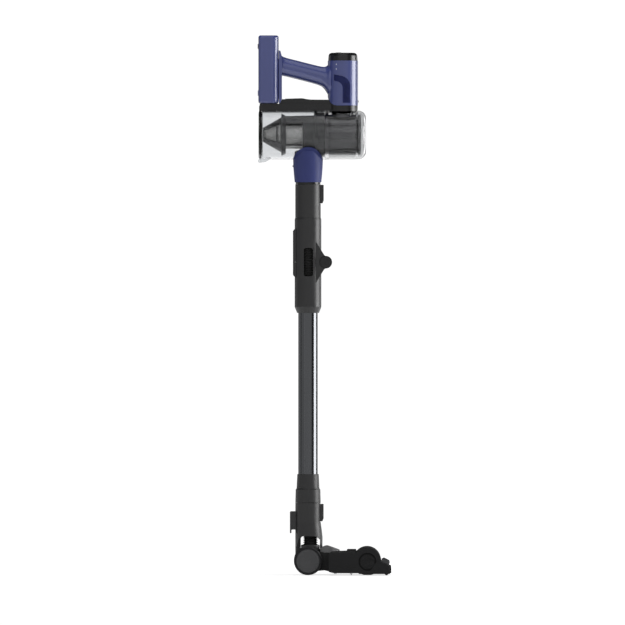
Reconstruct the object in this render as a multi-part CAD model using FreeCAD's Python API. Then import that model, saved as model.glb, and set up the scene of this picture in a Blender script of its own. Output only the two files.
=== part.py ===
"""Cordless stick vacuum: motorised floor head, swivelling neck, folding wand and a handheld cyclone unit.

Frame: millimetres, +X forward (the way the floor head points), +Y to the left, +Z up.
The origin is on the floor, under the middle of the whole machine's length and width.
Each function below makes one sub-part in place; build() writes one STEP file for each.
"""
import FreeCAD, Part
import math
import os

V = FreeCAD.Vector

# ---------------------------------------------------------------- driving dimensions
TOTAL_HEIGHT = 1105.0
WAND_X = -33.5            # the wand's axis, which also stands over the rear wheels
HEAD_HALF_WIDTH = 118.0
HALF_LENGTH = 136.7       # from the origin to the bumper's front face

# floor head
WALL = 2.2
SHELL_HALF = 113.0        # half width of the moulded head between its end caps
HEAD_REAR_X = 9.0
HEAD_TOP_Z = 48.5
HEAD_BOTTOM_Z = 3.4
CAP_BOTTOM_Z = 1.4          # lowest point of the end caps' round part
HEAD_SPLIT_Z = 22.0
TUNNEL_X = 88.0
TUNNEL_Z = 29.0
TUNNEL_R = 28.5
TUNNEL_INNER_R = 26.0
ROLL_Z = 25.5
BRISTLE_R = 24.5
BRUSH_CORE_R = 14.0
JOURNAL_R = 5.0
BRUSH_PULLEY_R = 11.0
MOTOR_PULLEY_R = 5.0
BELT_THICK = 1.5
BELT_GAP = 0.3
BELT_Y0 = 95.0
BELT_Y1 = 103.0
BRUSH_MOTOR_X = 36.0
BRUSH_MOTOR_Z = 26.0
FRONT_ROLLER_X = 127.0
FRONT_ROLLER_R = 3.5
FRONT_ROLLER_YS = (-72.0, 72.0)

# rear wheels and the pitch axis share one line
WHEEL_R = 29.0
WHEEL_RIM_R = 24.6
WHEEL_Y0 = 46.0
WHEEL_Y1 = 58.0
AXLE_R = 4.0
RUNNING = 0.05            # radial clearance of a turning fit
PITCH_Z = WHEEL_R
ARM_R = 24.0
ARM_Y0 = 37.2
ARM_Y1 = 44.8
SEAT_FRONT_X = 8.98        # the seat's front face, against the head

# neck
BARREL_R = 21.0
BARREL_HALF = 36.8
FORK_X = -28.5            # the hose's axis and the middle of the fork
ROLL_AXIS_Z = 50.0
LEG_HALF = 10.0
LEG_REAR_X = -48.3        # inner faces of the two fork legs
LEG_FRONT_X = -9.1
NECK_R = 26.0
NECK_TOP_Z = 147.2
NECK_ARCH_Z = 79.0
NECK_SOCKET_R = 21.4
NECK_HOSE_R = 15.0

# wand
TUBE_R = 20.0
TUBE_INNER_R = 18.6
TUBE_SEAT_R = 20.1
CUP_BOTTOM_Z = 147.6
CUP_TOP_Z = 206.4
ELBOW_R = 27.3
ELBOW_INNER_R = 24.3
ELBOW_FOOT_Z = 536.5
FOLD_X = 3.0
FOLD_Z = 640.6
FOLD_GAP = 0.1            # half of the gap between the elbow's two halves
KNUCKLE_R = 12.5
KNUCKLE_HALF = 14.0
EAR_HALF = 22.0
LEVER_WELL_HALF = 9.4
ELBOW_TOP_Z = 732.0
CONNECTOR_R = 26.1
CONNECTOR_TOP_Z = 800.5
SPIGOT_R = 20.0

# handheld
CUP_Z = 901.6             # the cyclone's axis, along X
CUP_R = 50.0
CUP_WALL = 2.2
CUP_LEFT_X = -128.2
CUP_RIGHT_X = 1.3
RING_RIGHT_X = 9.0
SHROUD_RIGHT_X = 66.0
CAP_RIGHT_X = 85.0
CORE_R = 41.0
RISER_R = 22.5
SPINE_Z0 = 950.8
SPINE_Z1 = 965.3
THUMB_FLOOR_Z = 971.3
POD_X = 38.0
POD_R = 31.0
POD_HEEL_R = 20.0          # lower back corner, outside and inside
POD_BORE_HEEL_R = 17.0
POD_Z0 = 961.6
POD_Z1 = 1053.5
CASE_WALL = 2.2
DOCK_X0 = -93.2
DOCK_X1 = -87.0
DOCK_HALF = 27.0
BATTERY_X0 = -135.2
BATTERY_X1 = -93.6
BATTERY_HALF = 37.0
BATTERY_Z0 = 965.8
SOCKET_Z = 987.0
SOCKET_R = 3.0
SOCKET_RIM_X = -136.5


# ---------------------------------------------------------------- helpers
def box(x0, x1, y0, y1, z0, z1):
    """A block between two corners."""
    return Part.makeBox(x1 - x0, y1 - y0, z1 - z0, V(x0, y0, z0))


def bar_x(radius, x0, x1, y=0.0, z=0.0):
    """A round bar along X."""
    return Part.makeCylinder(radius, x1 - x0, V(x0, y, z), V(1, 0, 0))


def bar_y(radius, y0, y1, x, z):
    """A round bar along Y."""
    return Part.makeCylinder(radius, y1 - y0, V(x, y0, z), V(0, 1, 0))


def bar_z(radius, z0, z1, x=WAND_X, y=0.0):
    """A round bar along Z."""
    return Part.makeCylinder(radius, z1 - z0, V(x, y, z0), V(0, 0, 1))


def both_sides(shape):
    """A shape and its mirror image across the middle plane, in one compound."""
    return Part.makeCompound([shape, shape.mirror(V(0, 0, 0), V(0, 1, 0))])


def join(first, *others):
    """One solid from several that overlap or touch."""
    return first.multiFuse(list(others)).removeSplitter()


def in_xz(u, v):
    return V(u, 0, v)


def in_xy(u, v):
    return V(u, v, 0)


def in_yz(u, v):
    return V(0, u, v)


def outline(corners, place=in_xz):
    """A closed wire through corners (u, v) or (u, v, radius), each rounded by its radius."""
    points = [place(c[0], c[1]) for c in corners]
    radii = [c[2] if len(c) > 2 else 0.0 for c in corners]
    ends = []
    edges = []
    for i, point in enumerate(points):
        if radii[i] == 0:
            ends.append((point, point))
            edges.append(None)
            continue
        back = (points[i - 1] - point).normalize()
        ahead = (points[(i + 1) % len(points)] - point).normalize()
        half = back.getAngle(ahead) / 2
        start = point + back * (radii[i] / math.tan(half))
        end = point + ahead * (radii[i] / math.tan(half))
        middle = point + (back + ahead).normalize() * (radii[i] / math.sin(half) - radii[i])
        ends.append((start, end))
        edges.append(Part.Arc(start, middle, end).toShape())
    wire = []
    for i in range(len(points)):
        if edges[i]:
            wire.append(edges[i])
        start = ends[i][1]
        end = ends[(i + 1) % len(points)][0]
        if (end - start).Length > 1e-6:
            wire.append(Part.LineSegment(start, end).toShape())
    return Part.Wire(wire)


def side_plate(corners, y0, y1):
    """An outline seen from the side, (x, z, radius), made solid from y0 to y1."""
    plate = Part.Face(outline(corners)).extrude(V(0, y1 - y0, 0))
    plate.translate(V(0, y0, 0))
    return plate


def plan_plate(corners, z0, z1):
    """An outline seen from above, (x, y, radius), made solid from z0 to z1."""
    plate = Part.Face(outline(corners, in_xy)).extrude(V(0, 0, z1 - z0))
    plate.translate(V(0, 0, z0))
    return plate


def rectangle(u0, u1, v0, v1, radius):
    """The four rounded corners of a rectangle."""
    return [(u0, v0, radius), (u1, v0, radius), (u1, v1, radius), (u0, v1, radius)]


def turned_z(profile, x=WAND_X):
    """A profile of (radius, z, rounding) turned about a vertical axis."""
    wire = outline([(x + p[0], *p[1:]) for p in profile])
    return Part.Face(wire).revolve(V(x, 0, 0), V(0, 0, 1), 360)


def turned_x(profile, z=CUP_Z):
    """A profile of (x, radius, rounding) turned about an axis along X."""
    wire = outline([(p[0], z + p[1], *p[2:]) for p in profile])
    return Part.Face(wire).revolve(V(0, 0, z), V(1, 0, 0), 360)


def turned_y(profile, x, z):
    """A profile of (radius, y, rounding) turned about an axis along Y."""
    wire = outline([(x + p[0], *p[1:]) for p in profile], in_xy)
    solid = Part.Face(wire).revolve(V(x, 0, 0), V(0, 1, 0), 360)
    solid.translate(V(0, 0, z))
    return solid


def ellipse_wire(x, z, half_x, half_y):
    """A level ellipse."""
    if abs(half_x - half_y) < 1e-6:
        curve = Part.Circle(V(x, 0, z), V(0, 0, 1), half_x)
        return Part.Wire(curve.toShape())
    curve = Part.Ellipse(V(x, 0, z), max(half_x, half_y), min(half_x, half_y))
    shape = curve.toShape()
    if half_y > half_x:
        shape.rotate(V(x, 0, z), V(0, 0, 1), 90)
    return Part.Wire(shape)


def ellipse_loft(sections):
    """A smooth solid through level ellipses (z, x, half_x, half_y)."""
    return Part.makeLoft([ellipse_wire(x, z, a, b) for z, x, a, b in sections], True)


def edges_where(shape, test):
    """The shape's edges whose bounding box passes the test."""
    return [e for e in shape.Edges if test(e.BoundBox)]


# ---------------------------------------------------------------- floor head
def head_solid(inset, half_width):
    """The head's side outline, drawn in by inset and made solid: rear block, brush tunnel and front lip."""
    block = side_plate(
        [
            (HEAD_REAR_X + inset, 7.4 + inset),
            (HEAD_REAR_X + inset, 44.0 - inset),
            (14.0 + inset, 47.0 - inset),
            (64.0, HEAD_TOP_Z - inset),
            (64.0, HEAD_BOTTOM_Z + inset + 1.6),
            (20.0 + inset, 5.0 + inset),
        ],
        -half_width,
        half_width,
    )
    tunnel = bar_y(TUNNEL_R - inset, -half_width, half_width, TUNNEL_X, TUNNEL_Z)
    return block, tunnel


def lip_solid(half_width):
    """The solid nose in front of the brush tunnel."""
    return side_plate(
        [
            (70.0, HEAD_BOTTOM_Z),
            (70.0, 29.0),
            (116.0, 29.0),
            (131.5, 22.0, 2.0),
            (134.0, 19.0, 1.0),
            (134.0, HEAD_BOTTOM_Z),
        ],
        -half_width,
        half_width,
    )


def head_full():
    """The head's outer form, cut level at its underside."""
    block, tunnel = head_solid(0.0, SHELL_HALF)
    bridge = box(60.0, 75.0, -SHELL_HALF, SHELL_HALF, HEAD_BOTTOM_Z + 1.6, 44.0)
    form = join(block, tunnel, lip_solid(SHELL_HALF), bridge)
    return form.common(box(0, 140, -120, 120, HEAD_BOTTOM_Z, 60))


def head_shell():
    """The hollow head before it is split into base and cover."""
    block, _ = head_solid(WALL, SHELL_HALF - WALL)
    bay = block.common(box(0, 57.0, -120, 120, 0, 60))
    tunnel = bar_y(TUNNEL_INNER_R, -(SHELL_HALF - WALL), SHELL_HALF - WALL, TUNNEL_X, TUNNEL_Z)
    mouth = box(63.0, 113.2, -(SHELL_HALF - WALL), SHELL_HALF - WALL, 0, 18.0)
    air_way = box(50.0, 66.0, -22, 22, 12, 40)
    rear_port = box(0, 12.0, -22, 22, 14, 42)
    belt_slot = box(50.0, 66.0, BELT_Y0 - 2, BELT_Y1 + 3, 12, 40)
    journals = bar_y(JOURNAL_R + RUNNING, -120, 120, TUNNEL_X, ROLL_Z)
    shell = head_full().cut(bay).cut(tunnel).cut(mouth)
    shell = shell.cut(air_way).cut(rear_port).cut(belt_slot).cut(journals)
    for y in FRONT_ROLLER_YS:
        shell = shell.cut(box(122.6, 131.4, y - 8.4, y + 8.4, 0, 8.2))
        shell = shell.cut(bar_y(1.5 + RUNNING, y - 11, y + 11, FRONT_ROLLER_X, FRONT_ROLLER_R))
    groove = box(53.4, 56.0, -104, 104, 0, 5.5)
    lamp_seat = lamp_bar(100.2, 0.2)
    return shell.cut(groove).cut(lamp_seat)


def head_base():
    """Lower half of the head's moulding, with the arms that carry the wheels and the neck."""
    base = head_shell().common(box(0, 140, -120, 120, 0, HEAD_SPLIT_Z))
    return base


def head_cover():
    """Upper half of the head's moulding, with a shallow panel recess over the motor bay."""
    cover = head_shell().common(box(0, 140, -120, 120, HEAD_SPLIT_Z + 0.3, 60))
    latch_well = box(45.6, 67.4, -12.4, 12.4, HEAD_TOP_Z - 1.6, HEAD_TOP_Z + 4)
    return cover.cut(latch_well)


def lamp_bar(half_width, grow):
    """The sloping lamp strip on top of the nose."""
    return side_plate(
        [
            (117.5 - grow, 27.0 - grow),
            (118.0 - grow, 31.6 + grow, 1.0),
            (122.5, 34.2 + grow, 1.0),
            (134.0 + grow, 28.4 + grow, 1.5),
            (131.6 + grow, 20.6 - grow),
        ],
        -half_width,
        half_width,
    )


def lamp_lens():
    return lamp_bar(100.0, 0.0)


def bumper_strip():
    """Soft strip along the nose."""
    return side_plate(rectangle(134.0, HALF_LENGTH, 5.0, 19.0, 1.2), -110, 110)


def end_cap():
    """The left end cap: the head's side outline with a round, flat-cornered recess."""
    block = side_plate(
        [
            (HEAD_REAR_X, 7.4, 1.5),
            (HEAD_REAR_X, 44.0, 3.0),
            (14.0, 47.0, 3.0),
            (76.0, HEAD_TOP_Z),
            (76.0, 5.0),
            (20.0, 5.0, 4.0),
        ],
        SHELL_HALF + 0.2,
        HEAD_HALF_WIDTH,
    )
    disc = bar_y(TUNNEL_R, SHELL_HALF + 0.2, HEAD_HALF_WIDTH, TUNNEL_X, TUNNEL_Z)
    nose = side_plate(
        [
            (70.0, HEAD_BOTTOM_Z),
            (70.0, 29.0),
            (116.0, 29.0),
            (131.5, 22.0, 2.0),
            (134.0, 19.0, 1.0),
            (134.0, HEAD_BOTTOM_Z, 1.0),
        ],
        SHELL_HALF + 0.2,
        HEAD_HALF_WIDTH,
    )
    cap = join(block, disc, nose).common(box(0, 140, 100, 130, HEAD_BOTTOM_Z, 60))
    outer_face_edges = edges_where(cap, lambda b: b.YMin > HEAD_HALF_WIDTH - 0.01)
    cap = cap.makeChamfer(0.8, outer_face_edges)
    belly = bar_y(TUNNEL_R, SHELL_HALF + 0.2, HEAD_HALF_WIDTH - 0.8, TUNNEL_X, TUNNEL_Z)
    cap = join(cap, belly.common(box(60, 110, 100, 130, CAP_BOTTOM_Z, HEAD_BOTTOM_Z + 0.5)))
    recess = bar_y(18.2, HEAD_HALF_WIDTH - 1.3, HEAD_HALF_WIDTH + 1, TUNNEL_X, TUNNEL_Z - 0.5)
    flat = box(0, 40, 0, 200, -60, 60)
    flat.rotate(V(0, 0, 0), V(0, 1, 0), 35)
    flat.translate(V(TUNNEL_X + 12.5, 0, TUNNEL_Z - 9.5))
    cap = cap.cut(recess.cut(flat))
    blind = bar_y(JOURNAL_R + 1.5, SHELL_HALF, SHELL_HALF + 2.0, TUNNEL_X, ROLL_Z)
    return cap.cut(blind)


def end_caps():
    """The two handed end caps."""
    return both_sides(end_cap())


def rear_squeegee():
    """Rubber blade behind the brush mouth."""
    return side_plate([(53.5, 5.4), (55.9, 5.4), (55.6, 0.8, 0.4), (54.2, 0.8, 0.4)], -103.5, 103.5)


def brush_motor():
    """Motor that drives the brush belt, with a stub shaft towards its pulley."""
    can = bar_y(13.0, 38.0, 88.0, BRUSH_MOTOR_X, BRUSH_MOTOR_Z)
    can = can.makeFillet(1.5, edges_where(can, lambda b: b.YLength < 0.01))
    boss = bar_y(4.5, 87.0, 90.5, BRUSH_MOTOR_X, BRUSH_MOTOR_Z)
    tail = bar_y(4.5, 35.0, 39.0, BRUSH_MOTOR_X, BRUSH_MOTOR_Z)
    bracket = box(BRUSH_MOTOR_X - 13.5, BRUSH_MOTOR_X + 13.5, 52, 74, 7.3, 15.0)
    return join(can, boss, tail, bracket.cut(bar_y(12.9, 50, 76, BRUSH_MOTOR_X, BRUSH_MOTOR_Z)))


def motor_pulley():
    """Small toothed pulley and its shaft stub."""
    wheel = bar_y(MOTOR_PULLEY_R, BELT_Y0 - 0.5, BELT_Y1 + 0.5, BRUSH_MOTOR_X, BRUSH_MOTOR_Z)
    flange = bar_y(7.5, BELT_Y1 + 0.5, BELT_Y1 + 2.0, BRUSH_MOTOR_X, BRUSH_MOTOR_Z)
    shaft = bar_y(2.0, 90.8, BELT_Y1, BRUSH_MOTOR_X, BRUSH_MOTOR_Z)
    return join(wheel, flange, shaft)


def belt_outline(grow):
    """The belt's loop round both pulleys, grown outwards from the pulleys' surfaces."""
    start = V(BRUSH_MOTOR_X, 0, BRUSH_MOTOR_Z)
    end = V(TUNNEL_X, 0, ROLL_Z)
    small = MOTOR_PULLEY_R + grow
    large = BRUSH_PULLEY_R + grow
    along = (end - start).normalize()
    across = V(-along.z, 0, along.x)
    lean = math.acos((small - large) / (end - start).Length)
    touch = [along * math.cos(lean) + across * (side * math.sin(lean)) for side in (1, -1)]
    upper = Part.LineSegment(start + touch[0] * small, end + touch[0] * large)
    lower = Part.LineSegment(end + touch[1] * large, start + touch[1] * small)
    far = Part.Arc(upper.EndPoint, end + along * large, lower.StartPoint)
    near = Part.Arc(lower.EndPoint, start - along * small, upper.StartPoint)
    return Part.Wire([c.toShape() for c in (upper, far, lower, near)])


def drive_belt():
    """Toothed belt from the brush motor to the brush roll."""
    outer = Part.Face(belt_outline(BELT_GAP + BELT_THICK))
    inner = Part.Face(belt_outline(BELT_GAP))
    loop = outer.cut(inner).extrude(V(0, BELT_Y1 - BELT_Y0, 0))
    loop.translate(V(0, BELT_Y0, 0))
    return loop


def brush_core():
    """The brush roll's tube with end journals and the driven pulley."""
    return turned_y(
        [
            (0.0, -112.6),
            (JOURNAL_R, -112.6),
            (JOURNAL_R, -107.0),
            (BRUSH_CORE_R, -107.0, 1.0),
            (BRUSH_CORE_R, 91.0, 1.0),
            (BRUSH_PULLEY_R, 91.0),
            (BRUSH_PULLEY_R, BELT_Y1 + 1.0),
            (BRUSH_CORE_R, BELT_Y1 + 1.0),
            (BRUSH_CORE_R, BELT_Y1 + 3.0),
            (JOURNAL_R, BELT_Y1 + 3.0),
            (JOURNAL_R, 112.6),
            (0.0, 112.6),
        ],
        TUNNEL_X,
        ROLL_Z,
    )


def brush_bristles():
    """Six rows of pile along the roll, standing on the core."""
    rows = []
    for i in range(6):
        row = box(
            TUNNEL_X + BRUSH_CORE_R - 0.3,
            TUNNEL_X + BRISTLE_R,
            -104,
            89,
            ROLL_Z - 2.5,
            ROLL_Z + 2.5,
        )
        row = row.common(bar_y(BRISTLE_R, -104, 89, TUNNEL_X, ROLL_Z))
        row = row.cut(bar_y(BRUSH_CORE_R, -110, 110, TUNNEL_X, ROLL_Z))
        row.rotate(V(TUNNEL_X, 0, ROLL_Z), V(0, 1, 0), 60 * i)
        rows.append(row)
    return Part.makeCompound(rows)


def front_rollers():
    """Two small rollers under the nose, each with its own pin ends."""
    rollers = []
    for y in FRONT_ROLLER_YS:
        wheel = bar_y(FRONT_ROLLER_R, y - 8.0, y + 8.0, FRONT_ROLLER_X, FRONT_ROLLER_R)
        wheel = wheel.makeFillet(0.8, edges_where(wheel, lambda b: b.YLength < 0.01))
        pin = bar_y(1.5, y - 10.5, y + 10.5, FRONT_ROLLER_X, FRONT_ROLLER_R)
        rollers.append(join(wheel, pin))
    return Part.makeCompound(rollers)


def cover_latch():
    """Sliding catch on top of the head, with finger ribs."""
    plate = side_plate(
        [
            (46.2, HEAD_TOP_Z - 1.4),
            (46.2, 51.8, 1.0),
            (48.4, 52.9, 1.0),
            (65.2, 52.9, 1.2),
            (65.2, HEAD_TOP_Z - 1.4),
        ],
        -12.0,
        12.0,
    )
    for i in range(4):
        plate = plate.cut(box(51.0 + 3.0 * i, 52.4 + 3.0 * i, -9, 9, 52.2, 55))
    return plate


def seat_frame():
    """Two arms and the short air duct that join the head to the neck's pivot."""
    arm_corners = [
        (WAND_X, PITCH_Z - ARM_R),
        (-12.0, 8.6, 10.0),
        (0.0, 9.6, 4.0),
        (SEAT_FRONT_X, 7.6),
        (SEAT_FRONT_X, 44.0),
        (WAND_X + 8, PITCH_Z + ARM_R - 1.2),
        (WAND_X, PITCH_Z + ARM_R),
    ]
    arm = side_plate(arm_corners, ARM_Y0, ARM_Y1)
    arm = join(arm, bar_y(ARM_R, ARM_Y0, ARM_Y1, WAND_X, PITCH_Z))
    arms = arm.cut(bar_y(AXLE_R, 0, 80, WAND_X, PITCH_Z))
    other = arms.mirror(V(0, 0, 0), V(0, 1, 0))
    duct = box(-16.0, SEAT_FRONT_X, -ARM_Y0 - 0.2, ARM_Y0 + 0.2, 9.8, 45.5)
    duct = duct.cut(bar_y(BARREL_R + 0.6, -60, 60, WAND_X, PITCH_Z))
    swing_room = bar_y(30.4, -60, 60, WAND_X, PITCH_Z).common(box(-100, 60, -60, 60, 31.0, 80))
    duct = duct.cut(swing_room).cut(box(-40, -2.8, -60, 60, 38.5, 80))
    duct = duct.cut(box(-30, 20, -22, 22, 14, 42))
    return join(arms, duct, other)


def seat_cover():
    """Domed lid over the duct behind the head, with two cheeks beside the neck's front leg."""
    dome = side_plate(
        [
            (-9.0, 46.0),
            (-9.0, 55.6, 3.0),
            (5.0, 60.8, 10.0),
            (31.5, 51.6, 2.0),
            (31.5, 49.0),
            (14.6, 48.7),
            (12.0, 46.0),
            (6.0, 46.0),
        ],
        -33.0,
        33.0,
    )
    plan = plan_plate(
        [
            (-9.0, -29.0, 5.0),
            (-9.0, 29.0, 5.0),
            (14.0, 33.0, 14.0),
            (31.5, 20.0, 10.0),
            (31.5, -20.0, 10.0),
            (14.0, -33.0, 14.0),
        ],
        40,
        70,
    )
    leg_slot = box(-10, -2.8, -24, 24, 40, 70)
    hollow = side_plate(
        [(0.5, 40.0), (0.5, 55.0, 2.0), (5.4, 57.4, 6.0), (27.0, 50.2), (27.0, 40.0)], -24, 24
    )
    return dome.common(plan).cut(leg_slot).cut(hollow)


def wheel_axles():
    """One steel pin on each side: through the arm, into the neck's barrel and the wheel."""
    pin = bar_y(AXLE_R, 31.0, WHEEL_Y1 - 3.0, WAND_X, PITCH_Z)
    return both_sides(pin)


def wheel_hub():
    """Dished wheel disc on the left side."""
    return turned_y(
        [
            (AXLE_R + RUNNING, WHEEL_Y0 - 0.6),
            (9.0, WHEEL_Y0 - 0.6),
            (9.0, WHEEL_Y0 + 1.0),
            (WHEEL_RIM_R, WHEEL_Y0 + 1.0),
            (WHEEL_RIM_R, WHEEL_Y1 - 1.6, 0.8),
            (22.4, WHEEL_Y1 - 0.6, 1.0),
            (20.0, WHEEL_Y1 - 1.2, 3.0),
            (0.0, WHEEL_Y1 - 0.4),
            (0.0, WHEEL_Y1 - 2.6),
            (AXLE_R + RUNNING, WHEEL_Y1 - 2.6),
        ],
        WAND_X,
        PITCH_Z,
    )


def tyre():
    """Soft tread ring of the left wheel."""
    return turned_y(
        [
            (WHEEL_RIM_R, WHEEL_Y0 + 0.4),
            (WHEEL_R, WHEEL_Y0 + 0.4, 2.0),
            (WHEEL_R, WHEEL_Y1 - 0.4, 3.0),
            (WHEEL_RIM_R, WHEEL_Y1 - 0.4),
        ],
        WAND_X,
        PITCH_Z,
    )


def left_wheel_hub():
    return wheel_hub()


def right_wheel_hub():
    return wheel_hub().mirror(V(0, 0, 0), V(0, 1, 0))


def left_tyre():
    return tyre()


def right_tyre():
    return tyre().mirror(V(0, 0, 0), V(0, 1, 0))


# ---------------------------------------------------------------- neck
def swivel_elbow():
    """Barrel that tilts between the arms, with the block that the fork pivots on."""
    barrel = bar_y(BARREL_R, -BARREL_HALF, BARREL_HALF, WAND_X, PITCH_Z)
    block = bar_z(26.2, PITCH_Z, 61.5, -32.0)
    block = block.common(box(LEG_REAR_X + 0.4, LEG_FRONT_X - 0.4, -40, 40, 0, 80))
    top_edges = edges_where(block, lambda b: b.ZMin > 61.4)
    block = block.makeFillet(2.0, top_edges)
    elbow = join(barrel, block)
    elbow = elbow.cut(bar_y(17.0, -34.0, 34.0, WAND_X, PITCH_Z))
    elbow = elbow.cut(bar_z(NECK_HOSE_R + 0.7, PITCH_Z, 80, FORK_X))
    port = box(-30, 0, -22, 22, 14, 44).common(bar_y(26, -22, 22, WAND_X, PITCH_Z))
    elbow = elbow.cut(port.common(box(-22, 0, -22, 22, 12, 40)))
    for x0, x1 in ((-70, LEG_REAR_X + 0.4), (LEG_FRONT_X - 0.4, 20)):
        elbow = elbow.cut(bar_x(LEG_HALF + 0.7, x0, x1, 0, ROLL_AXIS_Z))
    elbow = elbow.cut(bar_x(3.0 + RUNNING, -60, 0, 0, ROLL_AXIS_Z))
    return elbow.cut(bar_y(AXLE_R + RUNNING, -60, 60, WAND_X, PITCH_Z))


def neck_form():
    """The neck's outer form, swelling forward above the fork."""
    sections = [
        (108.0, WAND_X, NECK_R, NECK_R),
        (88.0, -32.2, NECK_R + 1.4, NECK_R + 1.4),
        (77.0, -31.6, NECK_R + 2.0, NECK_R + 2.0),
        (38.0, -31.9, NECK_R + 1.7, NECK_R + 1.7),
    ]
    rings = [ellipse_wire(x, z, half_x, half_y) for z, x, half_x, half_y in sections]
    return join(bar_z(NECK_R, 108, NECK_TOP_Z), Part.makeLoft(rings, True, True))


def neck_tube():
    """The neck's socket for the wand, ending below in a fork with two legs."""
    neck = neck_form().common(box(-80, 20, -40, 40, ROLL_AXIS_Z - LEG_HALF, 200))
    neck = neck.cut(bar_z(NECK_SOCKET_R, 99.5, 200))
    neck = neck.cut(bar_z(17.0, 96, 100))
    neck = neck.cut(bar_z(19.0, NECK_ARCH_Z - 4, 96.5, FORK_X))
    fork_gap = side_plate(
        [
            (LEG_REAR_X, 30.0),
            (LEG_REAR_X, NECK_ARCH_Z, 5.0),
            (-16.0, NECK_ARCH_Z - 0.6, 6.0),
            (LEG_FRONT_X, 72.0, 2.0),
            (LEG_FRONT_X, 30.0),
        ],
        -40,
        40,
    )
    neck = neck.cut(fork_gap)
    side = outline([(LEG_HALF, 30), (LEG_HALF, 55, 8), (21, 78, 8), (32, 80), (32, 30)], in_yz)
    side = Part.Face(side).extrude(V(100, 0, 0))
    side.translate(V(-80, 0, 0))
    neck = neck.cut(side).cut(side.mirror(V(0, 0, 0), V(0, 1, 0)))
    corners = box(-80, 20, -LEG_HALF - 1, LEG_HALF + 1, 30, ROLL_AXIS_Z)
    neck = neck.cut(corners.cut(bar_x(LEG_HALF, -90, 30, 0, ROLL_AXIS_Z)))
    neck = neck.cut(bar_x(3.0, -57.5, -5.5, 0, ROLL_AXIS_Z))
    return neck.cut(box(-11.7, 0, -8.4, 8.4, 108.8, 146.0))


def neck_hose():
    """Bellows between the swivel block and the neck's socket."""
    outer = bar_z(NECK_HOSE_R, 47.0, 95.5, FORK_X)
    return outer.cut(bar_z(NECK_HOSE_R - 1.5, 46.0, 96.5, FORK_X))


def roll_pins():
    """The two pins that the fork turns on."""
    rear = bar_x(3.0, -57.5, -44.5, 0, ROLL_AXIS_Z)
    front = bar_x(3.0, -13.0, -5.5, 0, ROLL_AXIS_Z)
    return Part.makeCompound([rear, front])


def storage_hook():
    """Hook on the back of the neck, open downwards."""
    hook = side_plate(
        [
            (-56.0, 130.2),
            (-70.6, 130.2, 2.5),
            (-70.6, 85.3, 1.0),
            (-67.4, 85.3, 1.0),
            (-67.4, 92.6, 1.5),
            (-56.0, 92.6),
        ],
        -8.5,
        8.5,
    )
    hook = hook.cut(bar_z(NECK_R + 0.4, 80, 150, WAND_X + 0.1))
    groove = box(-72, -69.6, -5.5, 5.5, 98, 124)
    return hook.cut(groove)


def push_button(z0, z1, front_x):
    """A ribbed push button let into the front of a tube; it travels towards -X."""
    button = side_plate(
        [
            (-9.6, z0),
            (front_x - 2.6, z0),
            (front_x, z0 + 6.0, 1.2),
            (front_x, z1, 1.4),
            (-9.6, z1),
        ],
        -8.0,
        8.0,
    )
    for i in range(4):
        groove_z = z0 + 12.0 + 4.0 * i
        button = button.cut(box(front_x - 0.7, front_x + 2, -5.5, 5.5, groove_z, groove_z + 1.4))
    return button


def head_release_button():
    return push_button(109.6, 145.2, -1.5)


# ---------------------------------------------------------------- wand
def wand_end_cup():
    """Lower end of the wand: tube socket above, spigot into the neck below."""
    return turned_z(
        [
            (17.5, 101.0),
            (21.0, 101.0, 1.0),
            (21.0, 112.0),
            (20.0, 113.0),
            (20.0, 116.0),
            (21.0, 117.0),
            (21.0, CUP_BOTTOM_Z),
            (26.0, CUP_BOTTOM_Z, 0.6),
            (25.3, 174.8, 0.8),
            (23.4, 177.0, 0.6),
            (22.0, CUP_TOP_Z, 0.8),
            (TUBE_SEAT_R, CUP_TOP_Z),
            (TUBE_SEAT_R, 160.0),
            (17.5, 160.0),
        ]
    )


def wand_tube():
    """Drawn aluminium tube between the two sockets."""
    return bar_z(TUBE_R, 160.5, 590.0).cut(bar_z(TUBE_INNER_R, 150, 600))


def fold_window():
    """The rounded side window that spans the fold line."""
    return side_plate(rectangle(-42.1, -23.3, FOLD_Z - 28.9, FOLD_Z + 28.9, 4.5), -40, 40)


def lever_well():
    """Room for the fold lever on the elbow's back."""
    return box(-70, -59.0, -LEVER_WELL_HALF, LEVER_WELL_HALF, 611.0, 708.2)


def lever_cheeks(sign):
    """The two low walls beside the fold lever, above (sign 1) or below (sign -1) the fold line."""
    wall = side_plate(
        [(-57.5, 609.0), (-59.8, 609.0), (-62.8, 613.6), (-62.8, 705.6), (-59.8, 710.2), (-57.5, 710.2)],
        LEVER_WELL_HALF,
        LEVER_WELL_HALF + 2.2,
    )
    edge = FOLD_Z + sign * FOLD_GAP
    room = box(-70, -50, 0, 20, min(edge, edge + sign * 100), max(edge, edge + sign * 100))
    return both_sides(wall.common(room))


def ear_block(sign):
    """The wedge that carries the fold's pivot, above (sign 1) or below (sign -1) the fold line."""
    corners = [
        (-20.0, FOLD_Z + sign * FOLD_GAP),
        (-20.0, FOLD_Z + sign * 46.9),
        (0.0, FOLD_Z + sign * 14.2, 8.0),
        (7.5, FOLD_Z + sign * 9.6),
        (7.5, FOLD_Z + sign * FOLD_GAP),
    ]
    return side_plate(corners, -EAR_HALF, EAR_HALF)


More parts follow.
